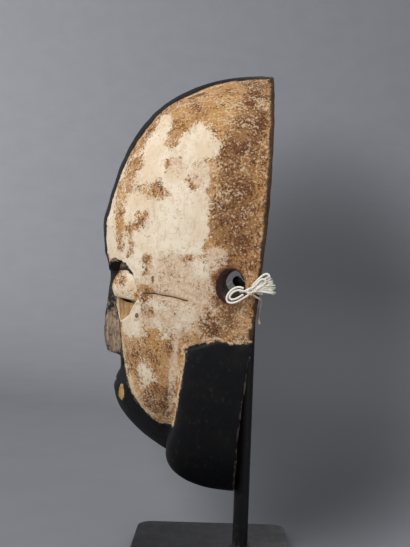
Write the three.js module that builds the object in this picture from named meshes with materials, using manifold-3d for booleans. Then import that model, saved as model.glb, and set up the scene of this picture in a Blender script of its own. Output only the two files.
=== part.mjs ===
// A carved wooden mask on a steel stand, hung on cotton twine. Millimetres, +Z up.
// The origin is the middle of the base plate's underside, and the mask faces -Y.
// The mask has a frame of its own: x across, y = -depth in front of the rim, z = height on the rim.
import * as THREE from "three";
import { mergeVertices } from "three/addons/utils/BufferGeometryUtils.js";
import Module from "manifold-3d";

const wasm = await Module();
wasm.setup();

// Base plate
const PLATE_SIDE = 125;
const PLATE_THICK = 8;
const PLATE_CORNER = 12;
const PLATE_EASED = 0.8; // bevel on the plate's edges
const GAP = 0.3; // between pieces that touch

// Rod
const ROD_RADIUS = 6;
const ROD_FOOT_Y = 23.6; // the rod's axis at the floor, behind the plate's middle
const ROD_LEAN_DEG = 0.81; // leans back
const ROD_TOP_Z = 211;
const WELD_RADIUS = 8.2; // weld bead round the rod's foot
const WELD_HEIGHT = 2.6;
const PIN_RADIUS = 4;
const PIN_START = new THREE.Vector3(0, 26.8, 208.5);
const PIN_END = new THREE.Vector3(0, 17.5, 219);

// Mask: where its rim stands, and how far it leans back
const RIM_FOOT_Y = 17.95;
const RIM_FOOT_Z = 53.63;
const LEAN_DEG = 4.05;

// Mask: the head. Each n is how square a curve is: 2 is an ellipse, and more is squarer.
const TOP = 324.3; // height of the rim
const SECTION_N = 2.1;
const HEAD_HALF_WIDTH = 90;
const WIDEST_AT = 205;
const HEAD_FOOT = 28; // the head ends here, inside the collar
const WIDTH_N = { above: 2.1, below: 1.9 };
const HEAD_DEPTH = 120.5;
const DEEPEST_AT = 203.8;
const FOREHEAD = { slope: 0.207, n: 4, end: 1.87 }; // it slopes back, and rounds over at the top
const FACE_FOOT = 94; // the side of the face meets the philtrum's level here
const FACE_FALL = 24; // how much less deep it is there than at the forehead
const FACE_FALL_POWER = 1.45;
const PHILTRUM_DEPTH = 97.6;
const FACE_SLOPE = 0.125; // the sunk face grows deeper by this much a millimetre upwards
const CHEEK = { depth: 101.3, middle: 130, drop: 101.5, n: 2.2 }; // the round that the cheeks turn in on
const MUZZLE = { depth: 101, middle: 71, drop: 59, n: 1.62, lip: 77, widthShare: 0.6 }; // mouth and chin
const RIM_WAVE_TOP = 3.5; // the rim bows back by this above the ears
const RIM_WAVE_LOW = 2; // and forward by this below them
const RIM_NODE = 110; // height where the rim is straight

// Mask: eyes, nose and mouth, on the side x > 0 and mirrored
const ORBIT = { x: 14, z: 148, halfWidth: 41.8, height: 27, n: 5 }; // the brow is an arc round this point
const BROW_DIP = { inner: 16, outer: 40, height: 10.5 }; // its edge runs down towards the nose
const CHEEK_EDGE_SLOPE = 0.7; // the sunk face narrows below the eyes by this much a millimetre
const BROW_STEPS = 11;
const LID = { x: 34, halfWidth: 20.5, n: 2.4, edge: 0.7, low: 145.6, high: 164.5, proud: 6.6, lowerShare: 0.72 };
const FACET = { left: 12, leftLow: 19, right: 50, low: 126.5, high: 144.6, run: 9, step: 0.8, sunk: 3 };
const RIDGE = { height: 3.6, from: 124.5, to: 141.6, right: 24, left: 8 }; // between facet and nose
const SLIT = { x: 31, z: 144.2, halfLength: 13, halfHeight: 1.3, drop: 1.2 };
const NOSE = { foot: 100.8, root: 153, tip: 122, rootDepth: 111.8, tipDepth: 113.4, rootHalf: 10.5, wingHalf: 15.5 };
const NOSE_WINGS = { low: 102, high: 140 }; // it narrows from the wings to the root between these heights
const NOSE_TURN = { from: 120, height: 18, back: 3.9 }; // below its tip it turns back
const NOSE_FLAT = 0.12; // the share of its half width that is flat
const BRIDGE = { low: 156, high: 182, rise: 8.5, power: 2.2, wider: 4, blend: 36 }; // it runs up into the forehead
const MOUTH = { z: 79.3, halfWidth: 18, n: 2.5, lip: 9, proud: 0.9 }; // two lips, above and below the line

// Mask: the collar
const COLLAR_HALF_WIDTH = 79;
const COLLAR_TOP = 122;
const COLLAR_DEPTH = 55;
const COLLAR_ROUND = 30; // height of the rounding at its foot
const COLLAR_THINNER = 5; // less deep at the cheeks than at the chin
const COLLAR_EDGE = 10; // sharpness of its front corner
const COLLAR_N = 1.6;

// Mask: the hollow and the ear holes
const HOLLOW = { halfWidth: 77, widestAt: 200, depth: 98, deepestAt: 185, top: 308, foot: 14 };
const HOLLOW_N = { above: 2.1, widthBelow: 1.75, depthBelow: 1.8 };
const HOLLOW_BEHIND = 12; // the cutting body runs this far behind the rim
const EAR = { depth: 15.4, z: 163.2, halfWidth: 9, halfHeight: 11.2, backDeg: 20 };

// Twine
const TWINE = 1.5;
const TWINE_SIDES = 7;

const clamp = (x, low, high) => Math.min(high, Math.max(low, x));
const ease = (from, to, x) => {
  const t = clamp((x - from) / (to - from), 0, 1);
  return t * t * (3 - 2 * t);
};
const mix = (a, b, t) => a + (b - a) * t;
const oval = (x, n) => Math.pow(Math.max(0, 1 - Math.pow(Math.abs(x), n)), 1 / n);

// The plan section of every level: half width at a share of the depth, both from 0 to 1.
const section = (share) => Math.pow(Math.max(0, 1 - share / 2 - share ** 3 / 2), 1 / SECTION_N);

function rimDepth(z) {
  return z > RIM_NODE
    ? -RIM_WAVE_TOP * Math.sin((Math.PI * (z - RIM_NODE)) / (TOP - RIM_NODE))
    : RIM_WAVE_LOW * Math.sin((Math.PI * z) / RIM_NODE);
}

function headHalfWidth(z) {
  if (z > WIDEST_AT) return HEAD_HALF_WIDTH * oval((z - WIDEST_AT) / (TOP - WIDEST_AT), WIDTH_N.above);
  return HEAD_HALF_WIDTH * oval((WIDEST_AT - z) / (WIDEST_AT - HEAD_FOOT), WIDTH_N.below);
}

const sunkFaceDepth = (z) => PHILTRUM_DEPTH + FACE_SLOPE * (z - FACE_FOOT);

function headDepth(z) {
  if (z > DEEPEST_AT) {
    const round = 1 - Math.pow((z - DEEPEST_AT) / (TOP - DEEPEST_AT), FOREHEAD.n);
    return (HEAD_DEPTH - FOREHEAD.slope * (z - DEEPEST_AT)) * Math.pow(Math.max(0, round), 1 / FOREHEAD.end);
  }
  const fall = FACE_FALL * ((DEEPEST_AT - z) / (DEEPEST_AT - FACE_FOOT)) ** FACE_FALL_POWER;
  return z > FACE_FOOT ? HEAD_DEPTH - fall : CHEEK.depth * oval((CHEEK.middle - z) / CHEEK.drop, CHEEK.n);
}

// The height of the ridge of the nose, and above it of the slope up to the forehead.
function ridgeDepth(z) {
  const tip = mix(NOSE.rootDepth, NOSE.tipDepth, ease(NOSE.root, NOSE.tip, z));
  const up = clamp((z - BRIDGE.low) / (BRIDGE.high - BRIDGE.low), 0, 1);
  return tip - NOSE_TURN.back * (Math.max(0, NOSE_TURN.from - z) / NOSE_TURN.height) ** 2 + BRIDGE.rise * up ** BRIDGE.power;
}

// The forehead is lower than its round here, where it runs down to the nose.
function foreheadSunk(x, z) {
  if (z < NOSE.root - 10 || z > BRIDGE.high) return 0;
  return Math.max(0, headDepth(z) - ridgeDepth(z)) * (1 - ease(0.2, 1, x / BRIDGE.blend));
}

// Mouth and chin stand out from the cheeks by this much.
function muzzleHeight(x, z) {
  if (z > FACE_FOOT) return 0;
  const chin = MUZZLE.depth * oval((MUZZLE.middle - Math.min(z, MUZZLE.middle)) / MUZZLE.drop, MUZZLE.n);
  const middle = mix(chin, sunkFaceDepth(z), ease(MUZZLE.lip, FACE_FOOT - 1, z));
  const across = oval(x / (MUZZLE.widthShare * headHalfWidth(z)), 2) ** 2;
  return Math.max(0, middle - headDepth(z)) * across;
}

// How high the nose stands on the sunk face.
function noseHeight(x, z) {
  if (z < NOSE.foot - 3) return 0;
  const middle = ridgeDepth(z) - sunkFaceDepth(z);
  const wing = mix(NOSE.wingHalf, NOSE.rootHalf, ease(NOSE_WINGS.low, NOSE_WINGS.high, z));
  const half = wing + BRIDGE.wider * clamp((z - BRIDGE.low) / (BRIDGE.high - BRIDGE.low), 0, 1);
  return middle * (1 - ease(NOSE_FLAT, 1, x / half)) * ease(NOSE.foot - 2, NOSE.foot + 0.6, z);
}

function lidHeight(x, z) {
  if (z < LID.low) return 0;
  const up = (z - LID.low) / (LID.high - LID.low);
  const fuller = mix(LID.lowerShare, 1, ease(0, 0.35, up));
  const round = 1 - Math.abs((x - LID.x) / LID.halfWidth) ** LID.n - up ** LID.n;
  return LID.proud * Math.pow(Math.max(0, round), LID.edge) * fuller;
}

// The hollowed facet under the lid, and the ridge between it and the nose.
function facetHeight(x, z) {
  const down = clamp((FACET.high - z) / (FACET.high - FACET.low), 0, 1);
  const left = mix(FACET.left, FACET.leftLow, down);
  const across = oval((2 * (x - left)) / (FACET.right - left) - 1, 2);
  const sunk = FACET.sunk * across * ease(FACET.low, FACET.low + FACET.run, z);
  const slope = x > left ? Math.max(0, 1 - (x - left) / RIDGE.right) : 1 - ease(0, RIDGE.left, left - x);
  const ridge = RIDGE.height * slope * ease(RIDGE.from, RIDGE.to, z);
  return (ridge - sunk) * (1 - ease(FACET.high, FACET.high + FACET.step, z));
}

function lipHeight(x, z) {
  const across = oval(x / MOUTH.halfWidth, MOUTH.n);
  return MOUTH.proud * across * Math.sin(Math.PI * clamp(Math.abs(z - MOUTH.z) / MOUTH.lip, 0, 1));
}

function rimmed(x, depth, share, z) {
  return new THREE.Vector3(x, -depth - rimDepth(z) * (1 - share) ** 2, z);
}

// The whole head without its sunk face.
function headPoint(z, share, side) {
  const x = headHalfWidth(z) * section(share);
  const proud = (muzzleHeight(x, z) + lipHeight(x, z)) * ease(0.3, 0.6, share);
  return rimmed(side * x, headDepth(z) * share + proud - foreheadSunk(x, z), share, z);
}

// The sunk face with its nose and eyelids.
function facePoint(z, share, side) {
  const x = headHalfWidth(z) * section(share);
  const carved = noseHeight(x, z) + lidHeight(x, z) + facetHeight(x, z);
  return rimmed(side * x, sunkFaceDepth(z) * share + carved, share, z);
}

const browDip = (x) => BROW_DIP.height * (1 - ease(BROW_DIP.inner, BROW_DIP.outer, x));

// The edge of the sunk face, from the philtrum up the cheek and over the brow, grown by a distance.
function faceOutline(grown) {
  const foot = FACE_FOOT - 1 - grown;
  const half = [];
  half.push([ORBIT.x + ORBIT.halfWidth - CHEEK_EDGE_SLOPE * (ORBIT.z - foot) + grown, foot]);
  for (let i = 0; i <= BROW_STEPS; i++) {
    const angle = (Math.PI / 2) * (i / BROW_STEPS);
    const out = ORBIT.x + (ORBIT.halfWidth + grown) * Math.pow(Math.cos(angle), 2 / ORBIT.n);
    const brow = ORBIT.z + (ORBIT.height + grown) * Math.pow(Math.sin(angle), 2 / ORBIT.n);
    half.push([out, brow - browDip(out)]);
  }
  const whole = [...half, ...half.map(([x, z]) => [-x, z]).reverse()];
  return new THREE.Shape(whole.map(([x, z]) => new THREE.Vector2(x, z)));
}

function facePrism(grown) {
  const geometry = new THREE.ExtrudeGeometry(faceOutline(grown), { depth: 130, bevelEnabled: false });
  geometry.rotateX(Math.PI / 2);
  geometry.translate(0, -30, 0);
  return geometry;
}

function collarHalfWidth(z) {
  return COLLAR_HALF_WIDTH * oval((COLLAR_TOP - Math.min(z, COLLAR_TOP)) / COLLAR_TOP, COLLAR_N);
}

function collarDepth(z) {
  return COLLAR_DEPTH * oval(Math.max(0, COLLAR_ROUND - z) / COLLAR_ROUND, 2) - COLLAR_THINNER * ease(36, 66, z);
}

// The collar's section: the head's section, cut off in front with a rounded corner.
function collarPoint(z, share, side) {
  const angle = (Math.PI / 2) * share;
  const width = collarHalfWidth(z);
  let low = 0;
  let high = 1;
  for (let i = 0; i < 40; i++) {
    const middle = (low + high) / 2;
    const beyond = middle * HEAD_DEPTH * Math.cos(angle) > width * section(middle) * Math.sin(angle);
    if (beyond) high = middle;
    else low = middle;
  }
  const flank = Math.hypot(width * section(low), low * HEAD_DEPTH);
  const front = collarDepth(z) / Math.max(Math.sin(angle), 1e-6);
  const reach = Math.pow(Math.pow(flank, -COLLAR_EDGE) + Math.pow(front, -COLLAR_EDGE), -1 / COLLAR_EDGE);
  const depth = reach * Math.sin(angle) + rimDepth(z) * (1 - share) ** 2;
  return new THREE.Vector3(side * reach * Math.cos(angle), -depth, z);
}

function hollowPoint(z, share, side) {
  const { above, widthBelow, depthBelow } = HOLLOW_N;
  const fromMiddle = (middle, below) =>
    z > middle
      ? oval((z - middle) / (HOLLOW.top - middle), above)
      : oval((middle - z) / (middle - HOLLOW.foot), below);
  const x = HOLLOW.halfWidth * fromMiddle(HOLLOW.widestAt, widthBelow) * section(share);
  return new THREE.Vector3(side * x, -HOLLOW.depth * fromMiddle(HOLLOW.deepestAt, depthBelow) * share, z);
}

function geometryOf(points, faces) {
  const geometry = new THREE.BufferGeometry();
  geometry.setAttribute("position", new THREE.Float32BufferAttribute(points.flatMap((p) => [p.x, p.y, p.z]), 3));
  geometry.setIndex(faces.flat());
  return geometry;
}

// A closed body from levels that each run from the rim at x < 0, over the front, to the rim at x > 0.
// It has a point at each end, and its back is made of straight bands between the two rims, or of two
// levels more that are set back by a distance.
function layered(levels, shares, pointAt, foot, top, behind = 0) {
  const row = [...shares.map((s) => [s, -1]), ...shares.slice(0, -1).reverse().map((s) => [s, 1])];
  const points = [foot];
  for (const z of levels) {
    const level = row.map(([share, side]) => pointAt(z, share, side));
    if (behind > 0) {
      const ends = [level.at(-1), level[0]];
      level.push(...ends.map((p) => new THREE.Vector3(p.x, behind, p.z)));
    }
    points.push(...level);
  }
  points.push(top);
  const width = row.length + (behind > 0 ? 2 : 0);
  const at = (level, i) => 1 + level * width + (i % width);
  const faces = [];
  for (let i = 0; i < width; i++) {
    faces.push([0, at(0, i + 1), at(0, i)]);
    faces.push([points.length - 1, at(levels.length - 1, i), at(levels.length - 1, i + 1)]);
    for (let level = 0; level < levels.length - 1; level++) {
      faces.push([at(level, i), at(level, i + 1), at(level + 1, i + 1)]);
      faces.push([at(level, i), at(level + 1, i + 1), at(level + 1, i)]);
    }
  }
  return geometryOf(points, faces);
}

function solid(geometry) {
  const bare = geometry.clone();
  bare.deleteAttribute("normal");
  bare.deleteAttribute("uv");
  const merged = mergeVertices(bare, 1e-4);
  return new wasm.Manifold(
    new wasm.Mesh({
      numProp: 3,
      vertProperties: new Float32Array(merged.attributes.position.array),
      triVerts: new Uint32Array(merged.index.array),
    }),
  );
}

function geometryFrom(body) {
  const mesh = body.getMesh();
  const geometry = new THREE.BufferGeometry();
  geometry.setAttribute("position", new THREE.BufferAttribute(mesh.vertProperties, 3));
  geometry.setIndex(new THREE.BufferAttribute(mesh.triVerts, 1));
  return geometry;
}

const range = (count, at) => Array.from({ length: count }, (_, i) => at(i));

// Shares of the depth for columns that stand a step apart over the front and wider down the sides.
function columns(step, front, sides) {
  const frontShare = (i) => 1 - (step * i) ** SECTION_N / 2;
  const flank = range(sides, (i) => (frontShare(front) * i) / sides);
  return [...flank, ...range(front + 1, (i) => frontShare(front - i))];
}

// Heights from one to another, close together at the end where the form turns in.
const turning = (from, to, count) =>
  range(count, (i) => from + (to - from) * (1 - Math.cos(((i + 1) * Math.PI) / (2 * count + 2))));
const even = (from, to, count) => range(count, (i) => from + ((to - from) * i) / (count - 1));

function ellipseShape(halfWidth, halfHeight, count) {
  return new THREE.Shape(
    range(count, (i) => {
      const angle = (2 * Math.PI * i) / count;
      return new THREE.Vector2(halfWidth * Math.cos(angle), halfHeight * Math.sin(angle));
    }),
  );
}

// Cuts one ear hole on the side given, from outside inwards and towards the back.
function earCutter(side) {
  const geometry = new THREE.ExtrudeGeometry(ellipseShape(EAR.halfWidth, EAR.halfHeight, 28), {
    depth: 50,
    bevelEnabled: false,
  });
  geometry.translate(0, 0, -25);
  geometry.rotateY(Math.PI / 2);
  geometry.rotateX(Math.PI / 2);
  geometry.rotateZ((side * -EAR.backDeg * Math.PI) / 180);
  geometry.translate(side * 80, -EAR.depth, EAR.z);
  return solid(geometry);
}

// Cuts one eye slit, a thin lens right through the wall under the lid.
function slitCutter(side) {
  const half = 8;
  const edge = (up) =>
    range(half, (i) => {
      const along = -1 + (2 * i) / half;
      const x = up ? along : -along;
      const high = (up ? -1 : 1) * SLIT.halfHeight * (1 - x * x);
      return new THREE.Vector2(SLIT.x + SLIT.halfLength * x, high - SLIT.drop * x);
    });
  const shape = new THREE.Shape([...edge(true), ...edge(false)].map((p) => new THREE.Vector2(p.x * side, p.y)));
  const geometry = new THREE.ExtrudeGeometry(shape, { depth: 60, bevelEnabled: false });
  geometry.rotateX(Math.PI / 2);
  geometry.translate(0, -60, SLIT.z);
  return solid(geometry);
}

const onAxis = (depth, z) => new THREE.Vector3(0, -depth, z);

function maskGeometry() {
  const headLevels = [
    ...turning(HEAD_FOOT, 58, 6),
    ...even(58, FACE_FOOT, 11),
    ...even(FACE_FOOT + 10, 148, 4),
    ...even(157, 184, 5),
    DEEPEST_AT - 8,
    ...turning(TOP, DEEPEST_AT, 14).reverse(),
  ];
  const head = solid(layered(headLevels, columns(0.07, 10, 4), headPoint, onAxis(0, HEAD_FOOT), onAxis(0, TOP)));

  const faceLevels = [
    ...even(90, 98, 3),
    ...even(99.6, 102, 3), // under the nose
    ...even(104, 141, 11),
    SLIT.z + 0.2,
    LID.low + 0.1,
    ...even(148.5, 166.5, 9),
    ...even(169.5, 181.5, 4),
  ];
  const sunkFace = solid(
    layered(faceLevels, columns(0.04, 18, 1), facePoint, onAxis(0, 88), onAxis(0, 188)),
  );
  const face = sunkFace.intersect(solid(facePrism(0.6)));

  const collarLevels = [...turning(0, COLLAR_ROUND, 8), ...even(COLLAR_ROUND + 1, COLLAR_TOP, 13)];
  const collar = solid(
    layered(collarLevels, range(13, (i) => i / 12), collarPoint, onAxis(0, 0), onAxis(20, COLLAR_TOP + 0.4)),
  );

  const middle = HOLLOW.foot + (HOLLOW.top - HOLLOW.foot) / 2;
  const hollowLevels = [
    ...turning(HOLLOW.foot, middle, 10),
    ...turning(HOLLOW.top, middle - 10, 10).reverse(),
  ];
  const hollow = solid(
    layered(
      hollowLevels,
      columns(0.14, 5, 4),
      hollowPoint,
      onAxis(0, HOLLOW.foot),
      onAxis(0, HOLLOW.top),
      HOLLOW_BEHIND,
    ),
  );

  let body = head.subtract(solid(facePrism(0))).add(face).add(collar).subtract(hollow);
  for (const side of [-1, 1]) body = body.subtract(earCutter(side)).subtract(slitCutter(side));
  return geometryFrom(body);
}

function plateGeometry() {
  const half = PLATE_SIDE / 2 - PLATE_EASED;
  const radius = PLATE_CORNER - PLATE_EASED;
  const inner = half - radius;
  const shape = new THREE.Shape();
  const corners = [
    [inner, inner, 0],
    [-inner, inner, 1],
    [-inner, -inner, 2],
    [inner, -inner, 3],
  ];
  for (const [x, y, quarter] of corners) {
    const from = (quarter * Math.PI) / 2;
    shape.absarc(x, y, radius, from, from + Math.PI / 2, false);
  }
  const geometry = new THREE.ExtrudeGeometry(shape, {
    depth: PLATE_THICK - 2 * PLATE_EASED,
    bevelThickness: PLATE_EASED,
    bevelSize: PLATE_EASED,
    bevelSegments: 1,
    curveSegments: 4,
  });
  geometry.translate(0, 0, PLATE_EASED);
  return geometry;
}

// A round bar with a domed end, from one point to another.
function pin(from, to, radius) {
  const length = from.distanceTo(to);
  const dome = range(5, (i) => {
    const angle = (i * Math.PI) / 8;
    return new THREE.Vector2(radius * Math.cos(angle), length + radius * Math.sin(angle));
  });
  dome[4].x = 0;
  const geometry = new THREE.LatheGeometry([new THREE.Vector2(0, 0), new THREE.Vector2(radius, 0), ...dome], 20);
  const turn = new THREE.Quaternion().setFromUnitVectors(new THREE.Vector3(0, 1, 0), to.clone().sub(from).normalize());
  geometry.applyQuaternion(turn);
  geometry.translate(from.x, from.y, from.z);
  return geometry;
}

function rodGeometry() {
  const foot = PLATE_THICK + GAP;
  const lean = Math.tan((ROD_LEAN_DEG * Math.PI) / 180);
  const profile = [
    [0, foot],
    [WELD_RADIUS, foot],
    [ROD_RADIUS + 1, foot + WELD_HEIGHT / 3],
    [ROD_RADIUS, foot + WELD_HEIGHT],
    [ROD_RADIUS, ROD_TOP_Z - 2],
    [ROD_RADIUS - 0.8, ROD_TOP_Z - 0.5],
    [ROD_RADIUS - 2, ROD_TOP_Z],
    [0, ROD_TOP_Z],
  ].map(([x, y]) => new THREE.Vector2(x, y));
  const shaft = new THREE.LatheGeometry(profile, 24);
  shaft.rotateX(Math.PI / 2);
  const places = shaft.attributes.position;
  for (let i = 0; i < places.count; i++) places.setY(i, places.getY(i) + ROD_FOOT_Y + lean * places.getZ(i));
  return geometryFrom(solid(shaft).add(solid(pin(PIN_START, PIN_END, PIN_RADIUS))));
}

// A closed tube of twine through the points given, as [x, depth, z] in the mask's frame.
function twine(route, steps) {
  const curve = new THREE.CatmullRomCurve3(route.map(([x, depth, z]) => new THREE.Vector3(x, -depth, z)));
  return new THREE.ExtrudeGeometry(ellipseShape(TWINE / 2, TWINE / 2, TWINE_SIDES), {
    steps,
    bevelEnabled: false,
    extrudePath: curve,
  });
}

const mirrored = (route) => route.map(([x, depth, z]) => [-x, depth, z]);

// Twine through the ear hole, round the strip of wood behind it and over the rim.
const RING = [
  [87.4, 8.9, 160.2],
  [86.3, 10.4, 160],
  [84.0, 10.4, 160],
  [80.0, 8.6, 160],
  [76.0, 7.0, 160],
  [72.8, 5.4, 160],
  [71.3, 3.2, 160],
  [70.9, 0.2, 160],
  [72.2, -3.0, 160],
  [75.4, -4.3, 160],
  [80.0, -4.3, 160],
  [84.6, -4.1, 160],
  [87.6, -3.0, 160],
  [88.9, -0.4, 160.2],
];
const SPAN_RISE = [
  [69.6, 1.4, 160.3],
  [46, 2.4, 162],
  [23, 3.5, 163.8],
  [8, 4.1, 164.9],
];
const SPAN = [...SPAN_RISE, [0, 4.2, 165.4], ...mirrored(SPAN_RISE).reverse()];
const KNOT = { x: 89.2, depth: 4.4, z: 161, radii: [2.6, 3.4, 2.7] };
const BOW_FRONT_OUTER = [
  [89, 8.7, 162.8],
  [88.4, 12.2, 163.2],
  [87, 15.8, 161.6],
  [86, 18.6, 158.2],
  [85.6, 19.6, 154.8],
  [85.7, 18.6, 152.4],
  [86.5, 15.6, 152],
  [87.6, 12.2, 153.3],
  [88.6, 9, 155.7],
  [89.2, 6.6, 157.4],
];
const BOW_FRONT_INNER = [
  [90, 8.6, 160.9],
  [89.3, 11.8, 161.2],
  [88, 14.8, 160],
  [87.1, 17, 157.7],
  [86.8, 17.7, 155.7],
  [86.9, 16.6, 154.4],
  [87.6, 14.6, 154.6],
  [88.5, 12.2, 155.8],
  [89.3, 10.3, 157.3],
  [89.9, 8.6, 158.6],
];
const BOW_BACK_OUTER = [
  [89.4, 3.2, 164.7],
  [90.3, 0.9, 167.9],
  [91, -1.6, 171],
  [91.5, -3.9, 173.2],
  [91.9, -6.2, 173.9],
  [92.1, -7.8, 172.4],
  [91.9, -7.4, 170],
  [91.3, -5.2, 167.4],
  [90.8, -2.6, 164.9],
  [90.4, -0.4, 162.4],
];
const BOW_BACK_INNER = [
  [92.2, 2.4, 163.5],
  [92.7, 0.2, 167],
  [93.1, -1.9, 169.5],
  [93.5, -4.1, 170.2],
  [93.8, -5.5, 168.7],
  [93.6, -4.4, 166.6],
  [93.1, -2.1, 164.7],
  [92.6, 0.2, 162.8],
];
const TAIL = [
  [89.2, 0.6, 158],
  [88.6, -2.9, 156.4],
  [85.4, -4.3, 154],
  [81.2, -3.9, 150.6],
  [78.6, -3.5, 146.4],
  [78.4, -3.6, 142.4],
  [79.6, -4.8, 138.6],
];
const PLAIN_END_UP = [
  [-89.6, 8.6, 162.2],
  [-89.0, 12.4, 163.2],
  [-87.6, 16.4, 161.0],
  [-86.6, 20.4, 157.6],
];
const PLAIN_END_DOWN = [
  [-89.4, 5.8, 157.2],
  [-89.2, 6.6, 153.0],
  [-88.4, 8.8, 147.8],
  [-87.8, 10.2, 142.6],
];

const wood = () => new THREE.MeshStandardMaterial({ color: 0xc9b08a, roughness: 0.9, metalness: 0 });
const steel = () => new THREE.MeshStandardMaterial({ color: 0x1c1c1e, roughness: 0.55, metalness: 0.3 });
const cotton = () => new THREE.MeshStandardMaterial({ color: 0xf1ead6, roughness: 0.95, metalness: 0 });

function named(name, geometry, material) {
  const mesh = new THREE.Mesh(geometry, material);
  mesh.name = name;
  return mesh;
}

function knot(side) {
  const geometry = new THREE.SphereGeometry(1, 12, 8);
  geometry.scale(...KNOT.radii);
  const mesh = named(side > 0 ? "knot_left" : "knot_right", geometry, cotton());
  mesh.position.set(side * KNOT.x, -KNOT.depth, KNOT.z);
  return mesh;
}

const stand = new THREE.Group();
stand.add(named("base_plate", plateGeometry(), steel()), named("stand_rod", rodGeometry(), steel()));

const hung = new THREE.Group();
hung.position.set(0, RIM_FOOT_Y, RIM_FOOT_Z);
hung.rotation.x = (-LEAN_DEG * Math.PI) / 180;
hung.add(
  named("mask", maskGeometry(), wood()),
  knot(1),
  knot(-1),
  named("twine_span", twine(SPAN, 24), cotton()),
  named("twine_ring_left", twine(RING, 18), cotton()),
  named("twine_ring_right", twine(mirrored(RING), 18), cotton()),
  named("bow_front_outer", twine(BOW_FRONT_OUTER, 15), cotton()),
  named("bow_front_inner", twine(BOW_FRONT_INNER, 13), cotton()),
  named("bow_back_outer", twine(BOW_BACK_OUTER, 14), cotton()),
  named("bow_back_inner", twine(BOW_BACK_INNER, 12), cotton()),
  named("tail_left", twine(TAIL, 9), cotton()),
  named("tail_right_front", twine(PLAIN_END_UP, 5), cotton()),
  named("tail_right_down", twine(PLAIN_END_DOWN, 5), cotton()),
);

const model = new THREE.Group();
model.add(stand, hung);
export default model;
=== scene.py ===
"""A carved, painted wooden mask hung by cotton twine on its steel stand. Metres, +Z up, facing -Y."""

import math

import bmesh
import bpy
import numpy as np
from mathutils import Matrix, Vector


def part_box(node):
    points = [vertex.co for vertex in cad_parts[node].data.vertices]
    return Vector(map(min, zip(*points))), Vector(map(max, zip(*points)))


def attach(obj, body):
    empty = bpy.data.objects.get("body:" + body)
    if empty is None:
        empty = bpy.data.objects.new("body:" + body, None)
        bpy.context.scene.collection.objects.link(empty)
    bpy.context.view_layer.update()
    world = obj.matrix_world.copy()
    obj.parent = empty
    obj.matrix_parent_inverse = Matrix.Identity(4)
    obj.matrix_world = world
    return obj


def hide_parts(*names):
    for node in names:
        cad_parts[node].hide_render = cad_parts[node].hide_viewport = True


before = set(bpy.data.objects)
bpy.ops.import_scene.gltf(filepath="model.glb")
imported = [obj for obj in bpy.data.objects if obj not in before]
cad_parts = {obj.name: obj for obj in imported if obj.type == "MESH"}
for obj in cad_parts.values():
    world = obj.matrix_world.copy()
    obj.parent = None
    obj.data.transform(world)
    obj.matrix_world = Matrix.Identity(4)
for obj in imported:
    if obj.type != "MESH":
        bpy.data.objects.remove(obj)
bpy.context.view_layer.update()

MM = 0.001

# The photograph's camera
IMAGE_HEIGHT = 547  # pixels
FOCAL_LENGTH = 842  # pixels
CAMERA_AT = (0.6614, 0.0098, 0.2374)
YAW, PITCH, ROLL = 1.56, 1.13, 1.23  # degrees: to -Y, down, and clockwise in the picture
# The soft shade behind the mask: its middle and its reach, both as slopes from the camera
SHADE_ACROSS, SHADE_DOWN = (-0.102, 0.22), (0.115, 0.3)

# Where the mask hangs, in millimetres and degrees
RIM_FOOT = (0, 17.95, 53.63)
LEAN = 4.05

# The mask's form, in its own millimetres: x across, depth in front of the rim, height on the rim.
# Each n is how square a curve is: 2 is an ellipse, and more is squarer.
TOP = 324.3
SECTION_N = 2.1
HEAD_HALF_WIDTH, WIDEST_AT, HEAD_FOOT = 90, 205, 28
WIDTH_N_ABOVE, WIDTH_N_BELOW = 2.1, 1.9
HEAD_DEPTH, DEEPEST_AT = 120.5, 203.8
FOREHEAD_SLOPE, FOREHEAD_N, FOREHEAD_END = 0.207, 4, 1.87
FACE_FOOT, FACE_FALL, FACE_FALL_POWER = 94, 24, 1.45
PHILTRUM_DEPTH, FACE_SLOPE = 97.6, 0.125
CHEEK_DEPTH, CHEEK_MIDDLE, CHEEK_FOOT, CHEEK_N = 101.3, 130, 28.5, 2.2
MUZZLE_DEPTH, MUZZLE_MIDDLE, MUZZLE_FOOT, MUZZLE_N, MUZZLE_LIP, MUZZLE_SHARE = 101, 71, 12, 1.62, 77, 0.6
RIM_WAVE_TOP, RIM_WAVE_LOW, RIM_NODE, RIM_BROKEN = 3.5, 2, 110, 0.5
ORBIT_X, ORBIT_Z, ORBIT_HALF_WIDTH, ORBIT_HEIGHT, ORBIT_N, CHEEK_EDGE_SLOPE = 14, 148, 41.8, 27, 5, 0.7
BROW_DIP_INNER, BROW_DIP_OUTER, BROW_DIP_HEIGHT = 16, 40, 10.5
LID_X, LID_HALF_WIDTH, LID_N, LID_EDGE = 34, 20.5, 2.4, 0.7
LID_LOW, LID_HIGH, LID_PROUD, LID_LOWER_SHARE = 145.6, 164.5, 6.6, 0.72
FACET_LEFT, FACET_LEFT_LOW, FACET_RIGHT, FACET_LOW, FACET_HIGH = 12, 19, 50, 126.5, 144.6
FACET_RUN, FACET_STEP, FACET_SUNK = 9, 0.8, 3
RIDGE_HEIGHT, RIDGE_FROM, RIDGE_TO, RIDGE_RIGHT, RIDGE_LEFT = 3.6, 124.5, 141.6, 24, 8
SLIT_X, SLIT_Z, SLIT_HALF_LENGTH, SLIT_HALF_HEIGHT, SLIT_DROP = 31, 144.2, 13, 1.3, 1.2
NOSE_FOOT, NOSE_ROOT, NOSE_TIP, NOSE_ROOT_DEPTH, NOSE_TIP_DEPTH = 100.8, 153, 122, 111.8, 113.4
NOSE_ROOT_HALF, NOSE_WING_HALF, NOSE_WINGS_LOW, NOSE_WINGS_HIGH, NOSE_FLAT = 10.5, 15.5, 102, 140, 0.12
NOSE_TURN_FROM, NOSE_TURN_HEIGHT, NOSE_TURN_BACK = 120, 18, 3.9
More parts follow.
